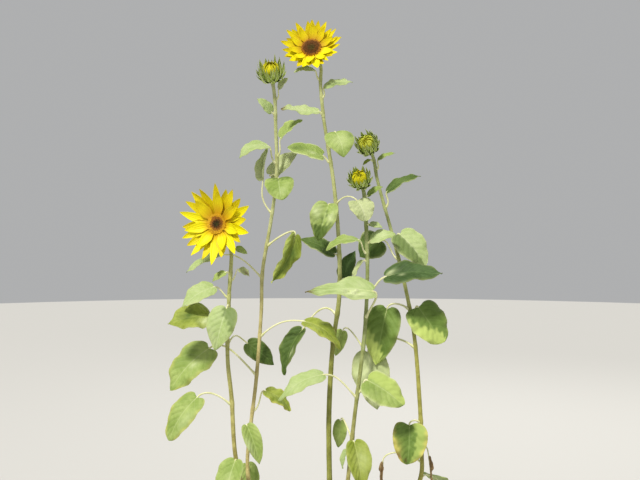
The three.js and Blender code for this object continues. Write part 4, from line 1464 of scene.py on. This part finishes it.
def add_florets(head, count, radius, low, dome, size, slot_of, dice):
    for i in range(count):
        share = math.sqrt((i + 0.5) / count)
        angle = i * GOLDEN_TURN
        foot = vec((radius * share * math.cos(angle), radius * share * math.sin(angle),
                    low + dome * (1 - share ** 2)))
        lean = unit(vec((math.cos(angle) * share * KNOB_LEAN,
                         math.sin(angle) * share * KNOB_LEAN, 1)))
        tall = size * (0.8 + 0.9 * share ** 2) * (0.85 + 0.3 * dice.random())
        line = np.array([foot + lean * tall * (k - KNOB_SINK) for k, _ in KNOB])
        radii = [size * KNOB_RADIUS * w * (0.55 + 0.45 * share) for _, w in KNOB]
        knob = tube_grid(line, radii, KNOB_SIDES, vec((1, 0.1, 0)))
        head.parts.append((knob, slot_of(share)))


# %% Heads gather parts in their own frame, then stand on the plant
class HeadShape:
    def __init__(self, axis, centre):
        self.parts = []
        self.blades = []
        self.turn = head_turn(axis)
        self.centre = centre

    def pour(self, shape):
        for grid, slot in self.parts:
            shape.grid(to_plant(grid, self.turn, self.centre), slot, around=True)
        for (points, t, u), slot in self.blades:
            add_blade(shape, to_plant(points, self.turn, self.centre), t, u, (slot, slot),
                      skin=PETAL_SKIN)


def turned_grid(profile, sides, ribs, depth):
    angles = np.arange(sides) / sides * math.tau
    rings = []
    for radius, height in profile:
        wavy = radius * (1 + depth * np.cos(ribs * angles))
        rings.append(np.stack([wavy * np.cos(angles), wavy * np.sin(angles),
                               np.full(sides, float(height))], axis=1))
    return np.array(rings)


# %% [markdown]
# ### A bloom
# The rays differ in length, twist and bend, so the bloom looks grown and not stamped. A second
# layer fills the gaps behind the first, and a few shorter rays lean in over the disc's rim. The
# florets go from dark or green in the middle to orange or golden at the rim, where they have
# opened.

# %% Rays in three layers
# rays more or fewer than the bloom's number, share of the length, height, shift, finish
RAY_LAYERS = [(0, 1.0, -0.6, 0.0, "ray"), (0, 0.94, -3.4, 0.5, "back_ray"),
              (-3, 0.7, 0.9, 0.25, "ray")]
RAY_TURN = 0.012
RAY_LENGTHS = (0.86, 1.03)
RAY_HEIGHTS = (0.8, 1.02)
RAY_WIDTHS = (0.9, 1.1)
RAY_TROUGHS = (0.1, 0.4)
RAY_DIP = 4
RAY_TWIST = 0.4
RAY_DRIFT = 4
RAY_ROOT = 4


def add_rays(head, sizes, dice, slots):
    disc, ray, cup = sizes["disc"], sizes["ray"], sizes["cup"]
    for extra, share, low, shift, slot in RAY_LAYERS:
        count = sizes["rays"] + extra
        for i in range(count):
            angle = ((i + shift) / count + dice.uniform(-RAY_TURN, RAY_TURN)) * math.tau
            reach = disc + ray * share * dice.uniform(*RAY_LENGTHS)
            high = low + cup * dice.uniform(*RAY_HEIGHTS)
            path = [(disc - RAY_ROOT, low), (mix(disc, reach, 0.55), low + (high - low) * 0.12),
                    (reach, high - dice.uniform(0, RAY_DIP))]
            blade = pointed_blade(angle, path, sizes["width"] * dice.uniform(*RAY_WIDTHS),
                                  ray_outline, trough=dice.uniform(*RAY_TROUGHS),
                                  twist=dice.uniform(-RAY_TWIST, RAY_TWIST),
                                  drift=dice.uniform(-RAY_DRIFT, RAY_DRIFT))
            # Front rays that point up far enough get the deeper gold finish, which is painted
            # shade.
            upward = (head.turn @ vec((math.cos(angle), math.sin(angle), 0)))[2]
            is_painted_shade = slot == "ray" and upward > sizes["golden"]
            head.blades.append((blade, slots["painted_shade_ray" if is_painted_shade else slot]))


# %% Bracts behind a bloom
BRACT_RINGS = 2
BRACTS = 11
BRACT_TURN = 0.01
BRACT_TIPS = (-2, 3)
BRACT_START = 0.55
BRACT_BEND = 0.6
BRACT_REACH = 0.95
BRACT_WIDTH = 0.5


def add_bracts(head, disc, dice, slots):
    for ring in range(BRACT_RINGS):
        for i in range(BRACTS):
            angle = ((i + ring / 2) / BRACTS + dice.uniform(-BRACT_TURN, BRACT_TURN)) * math.tau
            start = disc * (BRACT_START + 0.2 * ring)
            low = -10 + 3 * ring
            path = [(start, low), (start + disc * BRACT_BEND, low + 1),
                    (start + disc * BRACT_REACH, low + dice.uniform(*BRACT_TIPS))]
            blade = pointed_blade(angle, path, disc * BRACT_WIDTH, bract_outline, size=(10, 5))
            head.blades.append((blade, slots["bract"]))


# %% A whole bloom
# how far out each finish of floret reaches, as a share of the disc
RIPENESS = {
    "left": [(0.34, "dark"), (0.5, "brown"), (0.74, "orange"), (1.1, "golden")],
    "main": [(0.4, "olive"), (0.82, "brown"), (1.1, "orange")],
}
FLORETS = 330
RIPENESS_PLAY = 0.06


def bloom_parts(head, name, sizes, dice, slots):
    disc = sizes["disc"]
    receptacle = [(3, -15), (7, -14), (disc * 0.8, -8), (disc + 1, -3), (disc - 1, 0.4),
                  (disc * 0.6, 1.4), (0.5, 1.8)]
    head.parts.append((turned_grid(receptacle, 40, 13, 0.02), slots["receptacle"]))
    add_rays(head, sizes, dice, slots)
    add_bracts(head, disc, dice, slots)

    def slot_of(share):
        seen = share + dice.uniform(-RIPENESS_PLAY, RIPENESS_PLAY)
        return slots[next(kind for limit, kind in RIPENESS[name] if seen < limit)]

    add_florets(head, FLORETS, disc - 1.0, low=1.6, dome=1.6, size=3.0, slot_of=slot_of,
                dice=dice)


# %% [markdown]
# ### A bud
# Whorls of narrow, pale-edged bracts close round the heart like an urn: the outer ones stand off
# and curve up, the inner ones lean in, and the yellow tips of the rays push out between them.

# %% Bud whorls
# count, width, then the arc's three points, all sizes as shares of the body's radius
WHORLS = [
    (9, 0.6, (0.45, -0.6), (1.35, -0.55), (1.6, 0.45)),
    (9, 0.58, (0.7, -0.4), (1.5, -0.1), (1.48, 1.2)),
    (10, 0.5, (0.85, -0.15), (1.4, 0.3), (1.22, 1.6)),
    (10, 0.4, (0.85, 0.1), (1.15, 0.6), (0.95, 1.5)),
]
WHORL_TURN = 0.02
BUD_BRACT_TWIST = 0.5
BUD_BRACT_DRIFT = 3
BUD_BRACT_TROUGH = 0.35
BUD_BRACT_WIDTHS = (0.85, 1.15)
WHORL_HEIGHTS = (0.88, 1.04)
WHORL_TIPS = (0.86, 1.08)
CLOSED_TIP = 0.78
WIDEST_BRACT = 0.97
PALE_EVERY = 3


def add_whorls(head, sizes, dice, slots):
    body, reach = sizes["body"], sizes["reach"]
    for whorl, (count, width, *arc) in enumerate(WHORLS):
        for i in range(count):
            angle = ((i + whorl / 2) / count + dice.uniform(-WHORL_TURN, WHORL_TURN)) * math.tau
            path = np.array(arc) * body * (1, dice.uniform(*WHORL_HEIGHTS))
            path[2] *= (mix(CLOSED_TIP, 1.0, sizes["open"]), dice.uniform(*WHORL_TIPS))
            path[:, 0] = np.minimum(path[:, 0], reach * WIDEST_BRACT)
            blade = pointed_blade(angle, path, body * width * dice.uniform(*BUD_BRACT_WIDTHS),
                                  bract_outline, trough=BUD_BRACT_TROUGH,
                                  twist=dice.uniform(-BUD_BRACT_TWIST, BUD_BRACT_TWIST),
                                  drift=dice.uniform(-BUD_BRACT_DRIFT, BUD_BRACT_DRIFT),
                                  size=(14, 7))
            is_pale = (i + whorl) % PALE_EVERY == 0
            head.blades.append((blade, slots["pale" if is_pale else "bract"]))


# %% A whole bud
HEART_RAYS = 30
HEART_TURN = 0.2
HEART_DRIFT = 2
HEART_WIDTH = 0.26
HEART_TIP_REACHES = (0.1, 0.6)
CLOSED_HEIGHT = 1.15
OPEN_HEIGHT = 1.4
BUD_FLORETS = 110


def bud_parts(head, sizes, dice, slots):
    body, heart = sizes["body"], sizes["heart"]
    urn = [(2, -0.72), (body * 0.5, -0.62), (body * 0.92, -0.2), (body * 0.95, 0.2),
           (heart, 0.55), (heart * 0.6, 0.62), (0.5, 0.64)]
    head.parts.append((turned_grid([(radius, height * body) for radius, height in urn],
                                   36, 9, 0.03), slots["receptacle"]))
    add_whorls(head, sizes, dice, slots)
    ray_slot = slots["heart" if sizes["open"] > 0.5 else "green_heart"]
    for i in range(HEART_RAYS):
        angle = (i + dice.uniform(-HEART_TURN, HEART_TURN)) / HEART_RAYS * math.tau
        tip = (dice.uniform(*HEART_TIP_REACHES), mix(CLOSED_HEIGHT, OPEN_HEIGHT, sizes["open"]))
        path = np.array([(0.82, 0.3), (0.98, 1.0), tip]) * body
        blade = pointed_blade(angle, path, body * HEART_WIDTH, ray_outline, trough=0.4,
                              drift=dice.uniform(-HEART_DRIFT, HEART_DRIFT), size=(10, 5))
        head.blades.append((blade, ray_slot))
    add_florets(head, BUD_FLORETS, heart, low=body * 0.7, dome=body * 0.3, size=2.6,
                slot_of=lambda share: slots["lime"], dice=dice)


# %% [markdown]
# ### Necks
# A head sits on the last stretch of its stem, which thickens and runs on into the receptacle, so
# that no gap opens between the two. The neck belongs to the head's piece, as in its solid.

# %% Neck
NECK_OVERLAP = 1.0
NECK_SINK = 6
NECK_FLARE = 0.7
NECK_REACH = 11


def neck_into_head(line, axis):
    return np.vstack([line, line[-1] + axis * NECK_SINK / 2, line[-1] + axis * NECK_SINK])


def neck_radii(line, thickness, heights):
    radii = swollen_radii(line, lambda share: thickness, heights)
    to_end = np.arange(len(line))[::-1] * LINE_STEP
    return radii * (1 + NECK_FLARE * np.exp(-(to_end / NECK_REACH) ** 2))


# %% [markdown]
# ### Whole heads
# Everything on one head is one piece with many finishes, as a bloom is picked and turned as one.
# Each finish gets a slot by name, so that a part is given its finish by saying what it is.

# %% Grow every head with its neck and small leaves
HEAD_FINISHES = {
    "bract": blade_finishes["bract"], "pale": blade_finishes["pale bract"],
    "receptacle": receptacle_finish, "ray": blade_finishes["ray"],
    "painted_shade_ray": blade_finishes["painted shade ray"], "back_ray": blade_finishes["back ray"],
    "heart": blade_finishes["bud ray"], "green_heart": blade_finishes["green bud ray"],
    **FLORET_FINISHES, "stalk": stalk_finish,
}
slots = {name: number for number, name in enumerate([*HEAD_FINISHES, "stem"])}
BLOOM_SEAT = 10
BUD_SEAT = 0.5

for name, sizes in HEADS.items():
    dice = random.Random(f"head {name}")
    line = smooth_line(sizes["neck"])
    line[0] -= unit(line[1] - line[0]) * NECK_OVERLAP
    axis = unit(vec(sizes["axis"]))
    shape = Shape()
    if "bloom" in sizes:
        node, look, seat = f"flower_{name}", "petals", BLOOM_SEAT
        head = HeadShape(sizes["axis"], line[-1] + axis * seat)
        bloom_parts(head, name, sizes["bloom"], dice, slots)
    else:
        node, look, seat = f"bud_{name}", "bud", sizes["bud"]["body"] * BUD_SEAT
        head = HeadShape(sizes["axis"], line[-1] + axis * seat)
        bud_parts(head, sizes["bud"], dice, slots)
    head.pour(shape)
    line = neck_into_head(line, axis)
    thickness = STEMS[name]["radius"][1]
    small_leaves = [Leaf(*row) for row in sizes["leaves"]]
    radii = neck_radii(line, thickness, [row.height for row in small_leaves])
    shape.grid(ribbed_tube(line, radii), slots["stem"], around=True)
    materials = [*HEAD_FINISHES.values(), stem_finishes[name]]
    for row in small_leaves:
        first = len(materials)
        materials.extend(leaf_finishes[row.tone])
        leaf_shape(shape, point_at_height(line, row.height), thickness, row, dice,
                   slots=(first, first + 1, slots["stalk"]))
    piece = shape.build(f"grown_{node}", materials)
    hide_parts(node)
    print(node, "faces", len(shape.faces))

# %% [markdown]
# ## Bristles
# Sunflower stems are rough with short stiff hairs, which catch the light along the edges. Hair
# curves could do it, but plain geometry goes anywhere: each bristle is a thin three-sided spike
# that starts inside the stem, and one joined piece holds all of them.

# %% Bristles on the stems
BRISTLES_PER_MM = 0.9
BRISTLE_LENGTH = 1.7
BRISTLE_RADIUS = 0.11
BRISTLE_SIDES = 3
BRISTLE_DEPTH = 0.97
FIRST_BRISTLE = 6
BRISTLE_LEANS = (-0.5, 0.3)
BRISTLE_LENGTHS = (0.6, 1.2)

dice = random.Random("bristles")
points = []
faces = []
for name, line in stem_lines.items():
    for _ in range(int(len(line) * LINE_STEP * BRISTLES_PER_MM)):
        index = dice.randrange(FIRST_BRISTLE, len(line) - 1)
        tangent = unit(line[index + 1] - line[index - 1])
        angle = dice.uniform(0, math.tau)
        side = square_to(vec((math.cos(angle), math.sin(angle), 0.01)), tangent)
        lean = unit(side + tangent * dice.uniform(*BRISTLE_LEANS))
        share = index / (len(line) - 1)
        foot = line[index] + side * (stem_radius(name, share) * BRISTLE_DEPTH)
        other = np.cross(lean, tangent)
        first = len(points)
        for k in range(BRISTLE_SIDES):
            turn = math.tau * k / BRISTLE_SIDES
            rim = (unit(other) * math.cos(turn)
                   + np.cross(lean, unit(other)) * math.sin(turn)) * BRISTLE_RADIUS
            points.append(foot + rim)
        points.append(foot + lean * BRISTLE_LENGTH * dice.uniform(*BRISTLE_LENGTHS))
        faces += [(first, first + 1, first + 3), (first + 1, first + 2, first + 3),
                  (first + 2, first, first + 3)]
bristle_mesh = bpy.data.meshes.new("stem_bristles")
bristle_mesh.from_pydata((np.array(points) * MM).tolist(), [], faces)
bristle_mesh.uv_layers.new(name="blade")
bristle_mesh.materials.append(hair_finish)
bristles = bpy.data.objects.new("stem_bristles", bristle_mesh)
bpy.context.collection.objects.link(bristles)
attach(bristles, "root")
print("bristles", len(faces) // BRISTLE_SIDES)
